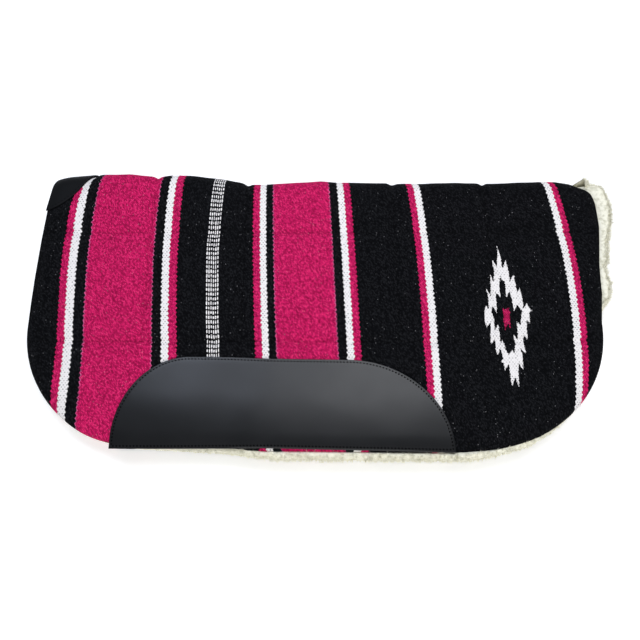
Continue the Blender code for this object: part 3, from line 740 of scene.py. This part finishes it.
def stripe_place(node, x, drop, column, row):
    """x at which a point looks up its stripe, moved by teeth and by where each yarn ends."""
    band = node("Math.FLOOR", node("Math.DIVIDE", x, TOOTH_BAND))
    tooth_place = node("Math.ADD", node("Math.DIVIDE", drop, TOOTH_LENGTH), chance(node, band, 3.7))
    tooth = node("Math.SUBTRACT", node("Math.PINGPONG", tooth_place, 0.5), 0.25)
    end = node("Math.SUBTRACT", chance(node, column, row), 0.5)
    ragged = node("Math.MULTIPLY_ADD", tooth, 4 * TOOTH_DEPTH, product(node, end, YARN_END))
    return node("Math.ADD", x, ragged)


def check_dashes(node, x, drop):
    """1 on the checked stripe's white dashes: rounded cells of random size, in columns that lean back near
    the crest, with rows at (down - CHECK_CROWD * exp(-down / CHECK_CROWD_REACH)) / CHECK_ROW."""
    down = node("Math.ABSOLUTE", drop)
    above = node("Math.MINIMUM", node("Math.SUBTRACT", down, LEAN_DROP), 0.0)
    from_start = node("Math.SUBTRACT", node("Math.MULTIPLY_ADD", above, CHECK_LEAN, x), CHECK_START)
    column_place = node("Math.DIVIDE", from_start, CHECK_COLUMN)
    column = node("Math.FLOOR", column_place)
    crowd = node("Math.EXPONENT", node("Math.DIVIDE", down, -CHECK_CROWD_REACH))
    crowded = node("Math.MULTIPLY_ADD", crowd, -CHECK_CROWD, down)
    shift = node("Math.MULTIPLY_ADD", chance(node, column, 9.1), 0.25, 10.0)
    row_place = node("Math.ADD", node("Math.DIVIDE", crowded, CHECK_ROW), shift)
    row = node("Math.FLOOR", row_place)
    half_width = node("Math.MULTIPLY_ADD", chance(node, column, row, 5.0), 0.16, 0.21)
    half_length = node("Math.MULTIPLY_ADD", chance(node, row, column, 6.0), 0.18, 0.28)
    across = node("Math.DIVIDE", from_middle(node, column_place), half_width)
    along = node("Math.DIVIDE", from_middle(node, row_place), half_length)
    in_check = node("Math.COMPARE", column_place, CHECK_COLUMNS / 2, CHECK_COLUMNS / 2)
    return product(node, in_round(node, across, along, 2.4), in_check)


def white_painted_shade(node, x, drop):
    """Painted shade of white cloth: 1, less a random part in the round gaps between its yarns."""
    row_place = node("Math.DIVIDE", drop, GAP_ROW)
    row = node("Math.FLOOR", row_place)
    column_place = node("Math.MULTIPLY_ADD", row, 0.5, node("Math.DIVIDE", x, GAP_COLUMN))
    across = product(node, from_middle(node, column_place), GAP_COLUMN / GAP_RADIUS)
    along = product(node, from_middle(node, row_place), GAP_ROW / GAP_RADIUS)
    depth = chance(node, node("Math.FLOOR", column_place), row, 4.0)
    gap = product(node, in_round(node, across, along, 2.0), depth, GAP_PAINTED_SHADE)
    return node("Math.SUBTRACT", 1.0, gap)


def yarn_height(node, column_place, row_place):
    """Height of a yarn in its cell, 1 along its middle and 0 at its edges: the product, over both ways, of
    1 - (2 * distance from the middle)**power."""
    ways = []
    for cell_place, power in ((column_place, 2.5), (row_place, 3.0)):
        out = product(node, from_middle(node, cell_place), 2.0)
        ways.append(node("Math.SUBTRACT", 1.0, node("Math.POWER", out, power)))
    return product(node, *ways)


def woven_cloth():
    """Acrylic saddle blanket cloth: long floats of yarn whose ends make each stripe's edge ragged.

    The yarns are dry and fuzzy, so the cloth is dull. Each yarn takes the dye a little differently, with
    painted light along its crown and painted shade at its edges, and shade is painted along the seams. The
    black is the dullest, with grey fuzz and painted sheen on some yarns, the pink has a faint painted sheen
    on some of its yarns, and the white is even, with painted shade in small gaps.
    """
    made, node, shader = new_material("woven_acrylic")
    weave = node("Attribute", attribute_name="weave", out=1)
    x, drop, _ = node("SeparateXYZ", weave).node.outputs
    white, pink, seam = node("SeparateXYZ", node("Attribute", attribute_name="figure", out=1)).node.outputs
    column_place = node("Math.DIVIDE", node("Math.MULTIPLY_ADD", drop, -YARN_SLANT, x), YARN_WIDTH)
    column = node("Math.FLOOR", column_place)
    stagger = product(node, node("Math.MODULO", column, 2.0), 0.5)
    row_place = node("Math.ADD", node("Math.DIVIDE", drop, YARN_LENGTH), stagger)
    row = node("Math.FLOOR", row_place)
    thread = node("Math.FLOOR", node("Math.DIVIDE", x, THREAD))
    jag = product(node, node("Math.SUBTRACT", chance(node, thread, row), 0.5), JAG)

    # Dyes
    looked_up = stripe_place(node, x, drop, column, row)
    layers = [(node("Math.GREATER_THAN", looked_up, start * MM), YARNS[yarn]) for start, yarn in STRIPES]
    layers.append((check_dashes(node, x, drop), YARNS["white"]))
    for distance, yarn in ((white, YARNS["white"]), (pink, HEART_YARN)):
        layers.append((node("Math.LESS_THAN", node("Math.ADD", distance, jag), 0.0), yarn))
    colour = laid_over(node, linear(YARNS["black"]), *layers)

    # Shade, as a product of painted light and shade from yarns' height, random tone from their own whim,
    # flecks
    #     # and patches, and painted shade along the seams
    height = yarn_height(node, column_place, row_place)
    whim = chance(node, column, row, 2.0)
    flecks = node("TexNoise", {"Vector": weave, "Scale": 1400.0, "Detail": 1.0, "Roughness": 0.6})
    patches = node("TexNoise", {"Vector": weave, "Scale": 26.0, "Detail": 3.0, "Roughness": 0.5})
    ranges = (
        (height, 0.0, 0.8, 0.46, 1.14), (whim, 0.0, 1.0, 0.50, 1.48), (flecks, 0.3, 0.7, 0.90, 1.10),
        (patches, 0.3, 0.7, 0.97, 1.03), (seam, *SEAM_PAINTED_SHADE),
    )
    shade = product(node, *(node("MapRange", *given) for given in ranges))
    brightness = node("RGBToBW", colour)
    whiteness = node("MapRange", brightness, 0.3, 0.8)
    dyed = node("MapRange", brightness, 0.02, 0.06)
    shade = node("Mix", {0: whiteness, 2: shade, 3: white_painted_shade(node, x, drop)})
    shaded = node("VectorMath.SCALE", {0: colour, "Scale": shade})

    # Painted sheen on some pink yarns, grey fuzz and painted sheen on some black yarns, and lint
    not_white, not_dyed = (node("Math.SUBTRACT", 1.0, value) for value in (whiteness, dyed))
    painted_sheen = product(node, node("MapRange", whim, 0.75, 1.0, 0.0, 0.03), not_white, dyed)
    fuzz_and_painted_sheen = product(node, node("MapRange", whim, 0.5, 1.0, 0.0, 0.022), not_dyed)
    speck_row = node("Math.FLOOR", node("Math.DIVIDE", drop, LINT_LENGTH))
    speck = node("Math.GREATER_THAN", chance(node, thread, speck_row, 7.0), 0.996)
    lint = product(node, speck, chance(node, thread, speck_row, 8.0), 0.32)
    # pale pink is painted sheen, the grey is fuzz and painted sheen on the black, the light grey is lint
    final = laid_over(node, shaded, (painted_sheen, "#ffc0dc"), (fuzz_and_painted_sheen, "#9b9a9e"), (lint, "#c4c2c4"))
    relief = node("Bump", {"Strength": 0.55, "Distance": 0.5 * MM, "Height": height})
    dull = {"Roughness": 0.92, "Specular IOR Level": 0.06}
    set_inputs(shader, {"Base Color": final, "Normal": relief, **dull})
    return made


def black_leather(name, low_roughness, specular):
    """Smooth top grain leather, dyed through: a nearly black, slightly clouded surface under a wax finish
    whose sheen, wider where the finish is worn, picks up the windows. Its grain is finer than a stitch."""
    made, node, shader = new_material(name)
    where = node("TexCoord", out="Object")
    clouds, wear, grain = (
        node("TexNoise", {"Vector": where, "Scale": scale, "Detail": detail, "Roughness": 0.5})
        for scale, detail in ((14.0, 3.0), (30.0, 4.0), (1600.0, 3.0))
    )
    set_inputs(shader, {
        "Base Color": laid_over(node, linear("#0f1012"), (clouds, "#141517")),
        "Roughness": node("MapRange", wear, 0.3, 0.7, low_roughness, low_roughness + 0.04),
        "Specular IOR Level": specular,
        "Normal": node("Bump", {"Strength": 0.10, "Distance": 0.15 * MM, "Height": grain}),
    })
    return made


def lambs_fleece():
    """Cream fleece: fine crimped fibres, so it is matt, with painted light on its tips and painted warm
    shade between its tufts."""
    made, node, shader = new_material("cream_fleece")
    where = node("TexCoord", out="Object")
    lumps = node("TexNoise", {"Vector": where, "Scale": 170.0, "Detail": 4.0, "Roughness": 0.6})
    # share of painted light on the lumps' tops; the darker cream under it is painted shade between them
    painted_tip_light = node("MapRange", lumps, 0.34, 0.54)
    set_inputs(shader, {
        "Base Color": laid_over(node, linear("#cfccb6"), (painted_tip_light, "#f3f0de")),
        "Roughness": 1.0, "Specular IOR Level": 0.05, "Sheen Weight": 0.3, "Sheen Roughness": 0.6,
        "Normal": node("Bump", {"Strength": 0.5, "Distance": 2.0 * MM, "Height": lumps}),
    })
    return made


def plain(name, colour, roughness, specular, **others):
    """A material that is the same all over."""
    made, _, shader = new_material(name)
    inputs = {"Base Color": linear(colour), "Roughness": roughness, "Specular IOR Level": specular}
    set_inputs(shader, {**inputs, **others})
    return made


CLOTH = woven_cloth()
WEAR_LEATHER = black_leather("black_wear_leather", 0.29, 0.30)          # waxed: satin
WITHER_LEATHER = black_leather("dull_wither_leather", 0.60, 0.08)       # rubbed and bent: nearly matt
FLEECE = lambs_fleece()
FELT = plain("grey_felt", "#8c8c8e", 1.0, 0.05)                 # pressed wool, matt
LEATHER_THREAD = plain("black_thread", "#050506", 0.9, 0.1)     # waxed nylon, worn dull
EDGE_THREAD = plain("cream_thread", "#d9d4bf", 0.8, 0.3)        # spun cotton with a little gloss


# Cover and felt

SIDE_LENGTH = CORNER_DROP + CORNER_RADIUS * math.pi / 4          # down a side and half way round its corner
COVER_ROLL = 3.5 * MM           # radius of the cloth's rolled edge
ROLL_TURNS = (0.4, 0.8, 1.2, math.pi / 2)
WALL = ((0.4, 0.6 * MM), (0.8, 0.3 * MM), (1.0, -0.6 * MM))      # share of the way to the rim, and fullness
COVER_STEP, COVER_ROW = 3.2 * MM, 2.6 * MM
BEND_ROW = 1.8 * MM
# Finer points where the diamond is
DIAMOND_COLUMNS = (0.225 - FRONT, 0.302 - FRONT, 0.9 * MM)
DIAMOND_ROWS = (0.125, 0.345, 1.2 * MM)
COVER_U = stations(REAR - FRONT, COVER_STEP, *DIAMOND_COLUMNS)
FELT_STEP, FELT_ROW = 12 * MM, 6 * MM
FELT_TOP = 15 * MM


def cover_rows():
    """Shares down the half: fine next to the crest and in the bend, and across the diamond."""
    bend = stations(SIDE_LENGTH, COVER_ROW, 0.0, QUARTER, BEND_ROW)
    rows = stations(SIDE_LENGTH, COVER_ROW, *DIAMOND_ROWS)
    first = bend[bend * SIDE_LENGTH < QUARTER]
    rest = rows[rows * SIDE_LENGTH > QUARTER + 1.5 * MM]
    return np.concatenate([first[:1], [0.3 * MM / SIDE_LENGTH], first[1:], rest])


def build_cover(side):
    """The quilted cloth: rolled through a quarter circle of radius COVER_ROLL at its free edges, then down
    a slightly full wall to the rim, and turned under at the fleece."""
    name = SIDE_NAMES[side]
    v = cover_rows()

    def ring_at(growth):
        return loop(pad_sides(growth), COVER_U, v, False)

    flat = coons(pad_sides(-COVER_ROLL), COVER_U, v)
    shell = Shell(with_depth(flat, cover_depth(flat[..., 0], flat[..., 1])), False)
    for turn in ROLL_TURNS:
        ring = ring_at(COVER_ROLL * (math.sin(turn) - 1))
        shell.add_ring(with_depth(ring, cover_depth(*ring.T) - COVER_ROLL * (1 - math.cos(turn))))
    wall_top = cover_depth(*ring_at(0).T) - COVER_ROLL
    for share, growth in WALL:
        shell.add_ring(with_depth(ring_at(growth), wall_top + (RIM - wall_top) * share))
    for depth in (RIM, wall_top - 1 * MM):
        shell.add_ring(with_depth(ring_at(-HEM), depth))
    shell.close_with_slats()
    nodes = (f"{name}_woven_cover", "spine_woven_cover")
    piece = shell_piece(shell, f"{name}_woven_cover", side, CLOTH, "woven_cloth", nodes, woven=True)
    bend_with_fold(piece, side)


def build_core(side):
    """The felt between the cloth and the fleece. Its top follows the cover's face, up to FELT_TOP."""
    name = SIDE_NAMES[side]
    u, v = stations(REAR - FRONT, FELT_STEP), stations(LAST_DROP, FELT_ROW)
    sides = pad_sides(-HEM - 1 * MM)
    flat = coons(sides, u, v)
    top = np.minimum(cover_depth(flat[..., 0], flat[..., 1]) - 2 * CLOTH_THICKNESS, FELT_TOP)
    shell = Shell(with_depth(flat, top), False)
    shell.add_ring(with_depth(loop(sides, u, v, False), RIM + 0.4 * MM))
    shell.close_with_slats()
    nodes = (f"{name}_felt_core", "spine_felt_core")
    piece = shell_piece(shell, f"{name}_felt_core", side, FELT, "felt", nodes)
    bend_with_fold(piece, side)


# Leathers

LEATHER_INSET = 1.0 * MM        # the flat of the face ends this far in
LEATHER_EDGE = ((-0.3 * MM, 0.25 * MM), (0.0, 0.8 * MM), (-0.1 * MM, LEATHER_THICKNESS))  # how far out, down
WEAR_STEPS = stations(0.47, 2.6 * MM), stations(0.11, 2.2 * MM)
WITHER_STEPS = stations(0.065, 1.6 * MM), stations(0.06, 1.6 * MM)
WRINKLE, WRINKLE_LENGTH = 0.15 * MM, 90 * MM
GROOVE, GROOVE_WIDTH = 0.16 * MM, 1.4 * MM


def wear_wrinkle(x, drop):
    """Soft waves, less the groove that the stitching pulls: exp(-((distance - inset) / width)**2)."""
    from_edge = np.minimum(-arch_distance(x, drop), WEAR_BASE + wear_foot(x) - drop)
    groove = GROOVE * np.exp(-(((from_edge - STITCH_INSET) / GROOVE_WIDTH) ** 2))
    return WRINKLE * ripple(x, drop, WRINKLE_LENGTH, 11) - groove


def wear_depth(x, drop):
    """Depth of the wear leather's face with its waves and groove."""
    return leather_depth(x, drop) + wear_wrinkle(x, drop)


def build_leather(name, side, sides, steps, closed, material, nodes, depth_of):
    """Leather with a rounded cut edge."""
    flat = coons(sides(-LEATHER_INSET), *steps)
    depth = depth_of(flat[..., 0], flat[..., 1])
    shell = Shell(with_depth(flat, depth), closed)
    for growth, sunk in LEATHER_EDGE:
        ring = loop(sides(growth), *steps, closed)
        shell.add_ring(with_depth(ring, depth_of(*ring.T) - sunk))
    shell.close_with_grid(with_depth(flat, depth - LEATHER_THICKNESS))
    return shell_piece(shell, name, side, material, "leather", nodes)


def build_wear_leather(side):
    """Leather along the lower edge: lies flat, so it rides its half."""
    name = f"{SIDE_NAMES[side]}_wear_leather"
    piece = build_leather(name, side, wear_sides, WEAR_STEPS, True, WEAR_LEATHER, (name,), wear_depth)
    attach(piece, f"{SIDE_NAMES[side]}_half")


def build_wither_leather(side):
    """Half of the leather over the front end of the fold, open at the crest where the other half begins."""
    name = f"{SIDE_NAMES[side]}_wither_leather"
    nodes = (name, "spine_wither_leather")
    shape = wither_sides, WITHER_STEPS, False
    piece = build_leather(name, side, *shape, WITHER_LEATHER, nodes, leather_depth)
    bend_with_fold(piece, side)


# Stitches: from one to the next, share of that which each fills, width, and lean across at its ends

WEAR_STITCH = (4.5 * MM, 0.66, 2.0 * MM, 0.6 * MM)
WITHER_STITCH = (5.3 * MM, 0.62, 0.8 * MM, 0.0)
QUILTING_STITCH = (4.2 * MM, 0.7, 0.7 * MM, 0.0)
EDGE_STITCH = (5.0 * MM, 0.6, 0.9 * MM, 0.0)
STITCH_DIP = 0.7                # of its width, at its ends
STITCH_STATIONS, STITCH_SIDES = 7, 6
SEAM_END = 12 * MM              # long seams stop this far in from the pad's edges


def dashes(side, path, pitch, share, width, lean):
    """Stitches along a path of (x, drop, depth): round dashes whose ends dip into their holes.

    Along a stitch t goes from -1 to 1, its radius goes as the square root of 1.05 - t**4, it dips by t
    squared, and it leans across the path by t times lean.
    """
    step = np.linalg.norm(np.diff(placed(side, path), axis=0), axis=1)
    length = np.concatenate([[0.0], np.cumsum(step)])
    starts = (np.arange(int(length[-1] / pitch)) + 0.5) * pitch
    t = np.linspace(-1, 1, STITCH_STATIONS)
    at = starts[:, None] + t * share * pitch / 2
    flat = np.stack([np.interp(at, length, path[:, k]) for k in range(3)], axis=-1)
    flat[..., 2] -= STITCH_DIP * width * t**2
    ahead = unit(flat[:, -1, :2] - flat[:, 0, :2])
    flat[..., :2] += lean * t[None, :, None] * np.stack([-ahead[:, 1], ahead[:, 0]], axis=1)[:, None]
    centre = placed(side, flat)
    # Where the pad lies on the floor no way out is left, and the last term gives one straight down
    out = unit(placed(side, flat + (0, 0, 1 * MM)) - centre + (0, 0, side * 1e-9))
    across = unit(np.cross(out, np.gradient(centre, axis=1)))
    points, faces, caps = tubes(centre, across, out, width / 2 * np.sqrt(1.05 - t**4), STITCH_SIDES)
    return points, faces, caps, np.repeat(flat, STITCH_SIDES, axis=1).reshape(-1, 3)


def stitch_piece(name, side, paths, stitch, material, slot, nodes, woven=False):
    """One piece from the stitches along several paths."""
    points, faces, caps, flats, shift = [], [], [], [], 0
    for path in paths:
        new_points, new_faces, new_caps, flat = dashes(side, path, *stitch)
        points.append(new_points)
        faces.append(new_faces + shift)
        caps += list(new_caps + shift)
        flats.append(flat)
        shift += len(new_points)
    attributes = weave_attributes(np.concatenate(flats), side) if woven else {}
    return make_piece(name, np.concatenate(points), faces, caps, material, slot, nodes, attributes)


def build_wear_stitches(side):
    """Stout black stitches all round the wear leather, each a little aslant."""
    name = SIDE_NAMES[side]
    line = loop(wear_sides(-STITCH_INSET), np.linspace(0, 1, 200), np.linspace(0, 1, 80), True)
    line = np.concatenate([line, line[:1]])
    path = with_depth(line, wear_depth(*line.T) + 0.25 * MM)
    nodes = (f"{name}_wear_leather_thread",)
    look = LEATHER_THREAD, "black_thread"
    piece = stitch_piece(f"{name}_wear_leather_stitches", side, [path], WEAR_STITCH, *look, nodes)
    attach(piece, f"{name}_half")


def build_wither_stitches(side):
    """Fine black stitches along the wither leather's curved edge, from the crest to the pad's front."""
    name = SIDE_NAMES[side]
    sides = wither_sides(-STITCH_INSET)
    line = np.concatenate([sides["right"], sides["bottom"][::-1][1:]])
    line = walk(line, np.linspace(0.01, 0.97, 80))
    path = with_depth(line, leather_depth(*line.T) + 0.1 * MM)
    nodes = (f"{name}_wither_leather_thread", "spine_wither_leather_thread")
    look = LEATHER_THREAD, "black_thread"
    piece = stitch_piece(f"{name}_wither_leather_stitches", side, [path], WITHER_STITCH, *look, nodes)
    bend_with_fold(piece, side)


def build_quilting(side):
    """Stitches at the bottom of the quilting's creases, in thread that sinks into the cloth's colours."""
    name = SIDE_NAMES[side]
    lines = []
    for drop in LONG_SEAMS:
        x = np.linspace(FRONT, REAR, 2000)
        x = x[edge_distance(x, drop) > SEAM_END]
        x = np.linspace(x[0], x[-1], 400)
        lines.append(np.stack([x, np.full(x.shape, drop)], axis=1))
    drops = np.linspace(0.5 * MM, LONG_SEAMS[1], 300)
    lines += [np.stack([np.full(drops.shape, seam), drops], axis=1) for seam in CROSS_SEAMS]
    paths = [with_depth(line, cloth_depth(*line.T)) for line in lines]
    nodes = [f"{name}_upper_quilting_thread", f"{name}_lower_quilting_thread"]
    nodes += [f"{part}_cross_quilting_thread_{n}" for part in (name, "spine") for n in (1, 2, 3, 4)]
    look = CLOTH, "black_thread"
    piece = stitch_piece(f"{name}_quilting_stitches", side, paths, QUILTING_STITCH, *look, nodes, woven=True)
    bend_with_fold(piece, side)


def build_edge_seam(side):
    """Cream stitches that close the cover onto the fleece."""
    name = SIDE_NAMES[side]
    line = loop(pad_sides(0.5 * MM), np.linspace(0, 1, 500), np.linspace(0, 1, 300), False)
    path = with_depth(line, RIM + 1.2 * MM)
    nodes = [f"{name}_edge_seam_thread", "spine_front_edge_seam_thread", "spine_rear_edge_seam_thread"]
    look = EDGE_THREAD, "edge_thread"
    piece = stitch_piece(f"{name}_edge_stitches", side, [path], EDGE_STITCH, *look, nodes)
    bend_with_fold(piece, side)


# Fleece

PILE_GAP = 0.4 * MM
PILE_PINCH = 3.2 * MM           # radius of the pile inside the bend
PINCH_LENGTH = 20 * MM
TUFT_SIZE, TUFT_DEPTH = 13 * MM, 2.0 * MM
# How far pile stands out past the cloth: at drops down the rear edge, and at x along the lower edge
REAR_PILE = (
    (0, 32), (15, 29), (31, 24), (48, 21), (65, 22), (98, 17), (123, 14), (150, 14), (162, 10), (187, 15),
    (205, 14), (228, 3), (240, 0.6),
)
LOWER_PILE = (
    (-262, 0.6), (-200, 2.5), (-120, 6), (-50, 9.5), (190, 9.5), (260, 6.5), (310, 3.5), (345, 0.6),
)
LEAST_PILE = 0.6 * MM
PILE_BACK = 10 * MM             # depth of the fleece's back
PILE_WELL = 0.6                 # pile stands up past it by this share of its reach
PILE_WELL_MOST = 20 * MM
PILE_CREST_RISE = 9 * MM        # it stands higher still at the rear end of the crest
PILE_CREST_DROP = 22 * MM
PILE_BULGE = 7 * MM
PILE_TURNS = np.linspace(-1.35, 1.45, 11)
LUMPS = ((0.65, 10 * MM, 31, 0.05), (0.35, 5 * MM, 37, 0.02))    # share, size, seed, start
LUMP_SWELL = 9 * MM             # lumps are full where pile stands out this far
LUMP_IN, LUMP_UP = 4.0 * MM, 2.4 * MM
PILE_STEP, PILE_BEND_STEP = 2.4 * MM, 1.0 * MM
PILE_U = stations(REAR - FRONT, PILE_STEP)
PILE_V = stations(SIDE_LENGTH, PILE_STEP, 0.0, QUARTER + 10 * MM, PILE_BEND_STEP)


def pile_reach(line):
    """How far the pile stands out past the cloth at points of the outline."""
    x, drop = line.T
    lower = np.where(drop > CORNER_DROP, read_off(LOWER_PILE, x), 0.0)
    at_rear = (x > 0) & (drop < CORNER_DROP)
    return np.maximum(np.where(at_rear, read_off(REAR_PILE, drop), lower), LEAST_PILE)


def outward(line):
    """Unit directions out of the outline at its points, level along the crest."""
    along = np.gradient(line, axis=0)
    across = unit(np.stack([-along[:, 1], along[:, 0]], axis=1))
    across[0], across[-1] = (-1, 0), (1, 0)
    return across


def pile_face(x, drop, side):
    """Depth of the tufts where the two halves meet. Inside the bend they are crushed, by a smooth step."""
    crushed = ease((QUARTER + PINCH_LENGTH - drop) / PINCH_LENGTH)
    hollow = TUFT_DEPTH * (1 - tufts(x, drop * side, TUFT_SIZE, 21))
    return PILE_GAP + PILE_PINCH * crushed + hollow * (1 - crushed)


def pile_rim():
    """The outline, its outward directions, the pile's reach and its distance along."""
    line = loop(pad_sides(0), PILE_U, PILE_V, False)
    distance = np.concatenate([[0.0], np.cumsum(np.hypot(*np.diff(line, axis=0).T))])
    return line, outward(line), pile_reach(line), distance


def pile_surface(line, away, reach, distance, turn, side):
    """Places on the pile's edge, from its face at turn -pi/2, over its tips at 0, to its top at pi/2.

    The section is half an ellipse whose tips stand out by reach, and lumps push it in between tufts.
    """
    x, drop = line.T
    bottom = pile_face(x, drop, side)
    bulge = np.minimum(reach, PILE_BULGE)
    top = PILE_BACK + np.minimum(PILE_WELL * reach, PILE_WELL_MOST)
    top += PILE_CREST_RISE * ease(1 - drop / PILE_CREST_DROP) * (x > 0)
    middle, half = (bottom + top) / 2, (top - bottom) / 2
    lump = 0.0
    for share, size, seed, start in LUMPS:
        lump = lump + share * tufts(distance, turn * half * 1.3 + start, size, seed + side)
    swell = np.minimum(reach, LUMP_SWELL) / LUMP_SWELL
    offset = reach - bulge + bulge * np.cos(turn) - LUMP_IN * (0.8 - lump) * swell
    depth = middle + half * np.sin(turn) + LUMP_UP * (lump - 0.5) * swell * np.sin(turn)
    moved = line + away * np.maximum(offset, 0.4 * MM)[:, None]
    return with_depth(moved, np.maximum(depth, PILE_GAP))


def build_fleece(side):
    """Pile lining: tufted where the two halves meet, and welling out in lumps past the cloth's edges."""
    name = SIDE_NAMES[side]
    flat = coons(pad_sides(0), PILE_U, PILE_V)
    shell = Shell(with_depth(flat, pile_face(flat[..., 0], flat[..., 1], side)), False)
    line, away, reach, distance = pile_rim()
    for turn in PILE_TURNS:
        shell.add_ring(pile_surface(line, away, reach, distance, turn, side))
    hidden = RIM - 0.4 * MM
    tucked = line + away * np.minimum(1.2 * MM, reach)[:, None]
    shell.add_ring(with_depth(tucked, hidden + 0.45 * np.minimum(reach, 25 * MM)))
    shell.add_ring(with_depth(line - away * 2 * MM, hidden))
    shell.close_with_slats()
    nodes = (f"{name}_fleece_lining", "spine_fleece_lining")
    piece = shell_piece(shell, f"{name}_fleece_lining", side, FLEECE, "fleece", nodes, sharp=80)
    bend_with_fold(piece, side)


FIBRES = 9000
FIBRE_ROOT = 0.30 * MM          # radius
FIBRE_LENGTH = 6.0 * MM
FIBRE_STATIONS, FIBRE_SIDES = 4, 3
WISP_LENGTH = 3.5 * MM          # along the edge
WISP_DRIFT = 1.3


def build_fibres(side):
    """Loose fibres over the pile's edge, drawn together into wisps.

    Station t of a fibre, from 0 to 1, lies at root + length * (t * out + t**2 * drift) with a radius that
    goes as 1.05 - t. The fibres of a wisp share their drift.
    """
    name = SIDE_NAMES[side]
    draw = np.random.default_rng(50 + side)
    line, away, reach, distance = pile_rim()
    shown = np.cumsum(np.where(reach > 2 * MM, reach + 4 * MM, 0.0) * np.gradient(distance))
    at = np.interp(draw.uniform(0, shown[-1], FIBRES), shown, distance)
    turn = draw.uniform(-1.1, 1.5, FIBRES)
    line, away = (
        np.stack([np.interp(at, distance, values[:, k]) for k in (0, 1)], axis=1) for values in (line, away)
    )
    reach = np.interp(at, distance, reach)
    root = pile_surface(line, away, reach, at, turn, side)
    wisp = np.floor(at / WISP_LENGTH) * 7.0 + np.floor(turn * 3)
    drift = np.stack([scatter(wisp, 0 * wisp, seed) - 0.5 for seed in (1, 2, 3)], axis=1) * WISP_DRIFT
    out = np.concatenate([away * np.cos(turn)[:, None], np.sin(turn)[:, None]], axis=1)
    out += draw.normal(0, 0.25, (FIBRES, 3))
    length = FIBRE_LENGTH * draw.uniform(0.4, 1.0, FIBRES) * np.minimum(1, reach / LUMP_SWELL)
    t = np.linspace(0, 1, FIBRE_STATIONS)
    ahead = t[:, None] * out[:, None] + t[:, None] ** 2 * drift[:, None]
    flat = root[:, None] + length[:, None, None] * ahead
    flat[..., 2] = np.maximum(flat[..., 2], PILE_GAP)
    centre = placed(side, flat)
    along = np.gradient(centre, axis=1)
    across = unit(np.cross(along, (0.3, 0.5, 0.8)))
    other = unit(np.cross(along, across))
    points, faces, caps = tubes(centre, across, other, FIBRE_ROOT * (1.05 - t), FIBRE_SIDES)
    nodes = (f"{name}_fleece_lining",)
    piece = make_piece(f"{name}_fleece_fibres", points, [faces], caps, FLEECE, "fleece", nodes, {})
    bend_with_fold(piece, side)


def build_pad():
    """Every piece of both halves."""
    for side in (OFF, NEAR):
        build_cover(side)
        build_core(side)
        build_fleece(side)
        build_fibres(side)
        build_wear_leather(side)
        build_wither_leather(side)
        build_wear_stitches(side)
        build_wither_stitches(side)
        build_quilting(side)
        build_edge_seam(side)


# Studio

CAMERA_DISTANCE = 0.8914
CAMERA_TILT = math.radians(20)
AIM = Vector((0.0, PICTURE_MIDDLE, CAD_BOX[1][2]))
FLOOR_DEPTH = 0.6 * MM
# Two windows overhead, one for each end of the pad, and a panel in front: place, aim, size, power, colour
LIGHTS = {
    "cool_window": ((-0.52, 0.60, 1.6), (-0.52, 0.43, 0), (0.46, 0.60), 8.5, "#e2ecff"),
    "warm_window": ((0.29, 0.67, 1.6), (0.29, 0.50, 0), (0.80, 1.24), 18.9, "#f6f9ff"),
    "front_fill": ((0.1, -1.3, 1.1), (0, 0, 0), (1.4, 0.8), 14, "#ffffff"),
}


def add_object(name, data):
    """Object in the scene from its data."""
    made = bpy.data.objects.new(name, data)
    bpy.context.scene.collection.objects.link(made)
    return made


def build_light(name, location, aim, size, power, colour):
    """A rectangle of light turned to face its aim."""
    light = bpy.data.lights.new(name, "AREA")
    light.shape = "RECTANGLE"
    light.size, light.size_y = size
    light.energy = power
    light.color = linear(colour)[:3]
    made = add_object(name, light)
    made.location = location
    made.rotation_euler = (Vector(location) - Vector(aim)).to_track_quat("Z", "Y").to_euler()


def build_floor():
    """White paper, lit through from below so that its shadows stay faint."""
    bpy.ops.mesh.primitive_plane_add(size=6, location=(0, 0, -FLOOR_DEPTH))
    floor = bpy.context.object
    floor.name = "floor"
    glow = {"Emission Color": linear("#ffffff"), "Emission Strength": 0.3}
    floor.data.materials.append(plain("white_paper", "#fbfbfb", 0.9, 0.1, **glow))


def build_world():
    """Pale light from all round, as in a white room."""
    world = bpy.data.worlds.new("pale_room")
    world.use_nodes = True
    set_inputs(world.node_tree.nodes["Background"], {"Color": linear("#f4f6fa"), "Strength": 0.20})
    bpy.context.scene.world = world


def build_camera():
    """A camera above the pad's lower side, its lens as long as its picture is wide."""
    lens = bpy.data.cameras.new("camera")
    lens.lens = lens.sensor_width = 50.0
    lens.clip_start = 0.05
    camera = add_object("camera", lens)
    back = Vector((0, -math.sin(CAMERA_TILT), math.cos(CAMERA_TILT)))
    camera.location = AIM + CAMERA_DISTANCE * back
    camera.rotation_euler = (CAMERA_TILT, 0, 0)
    bpy.context.scene.camera = camera


def build_studio():
    bpy.context.scene.view_settings.view_transform = "Standard"
    build_floor()
    build_world()
    for name, given in LIGHTS.items():
        build_light(name, *given)
    build_camera()


build_pad()
build_studio()
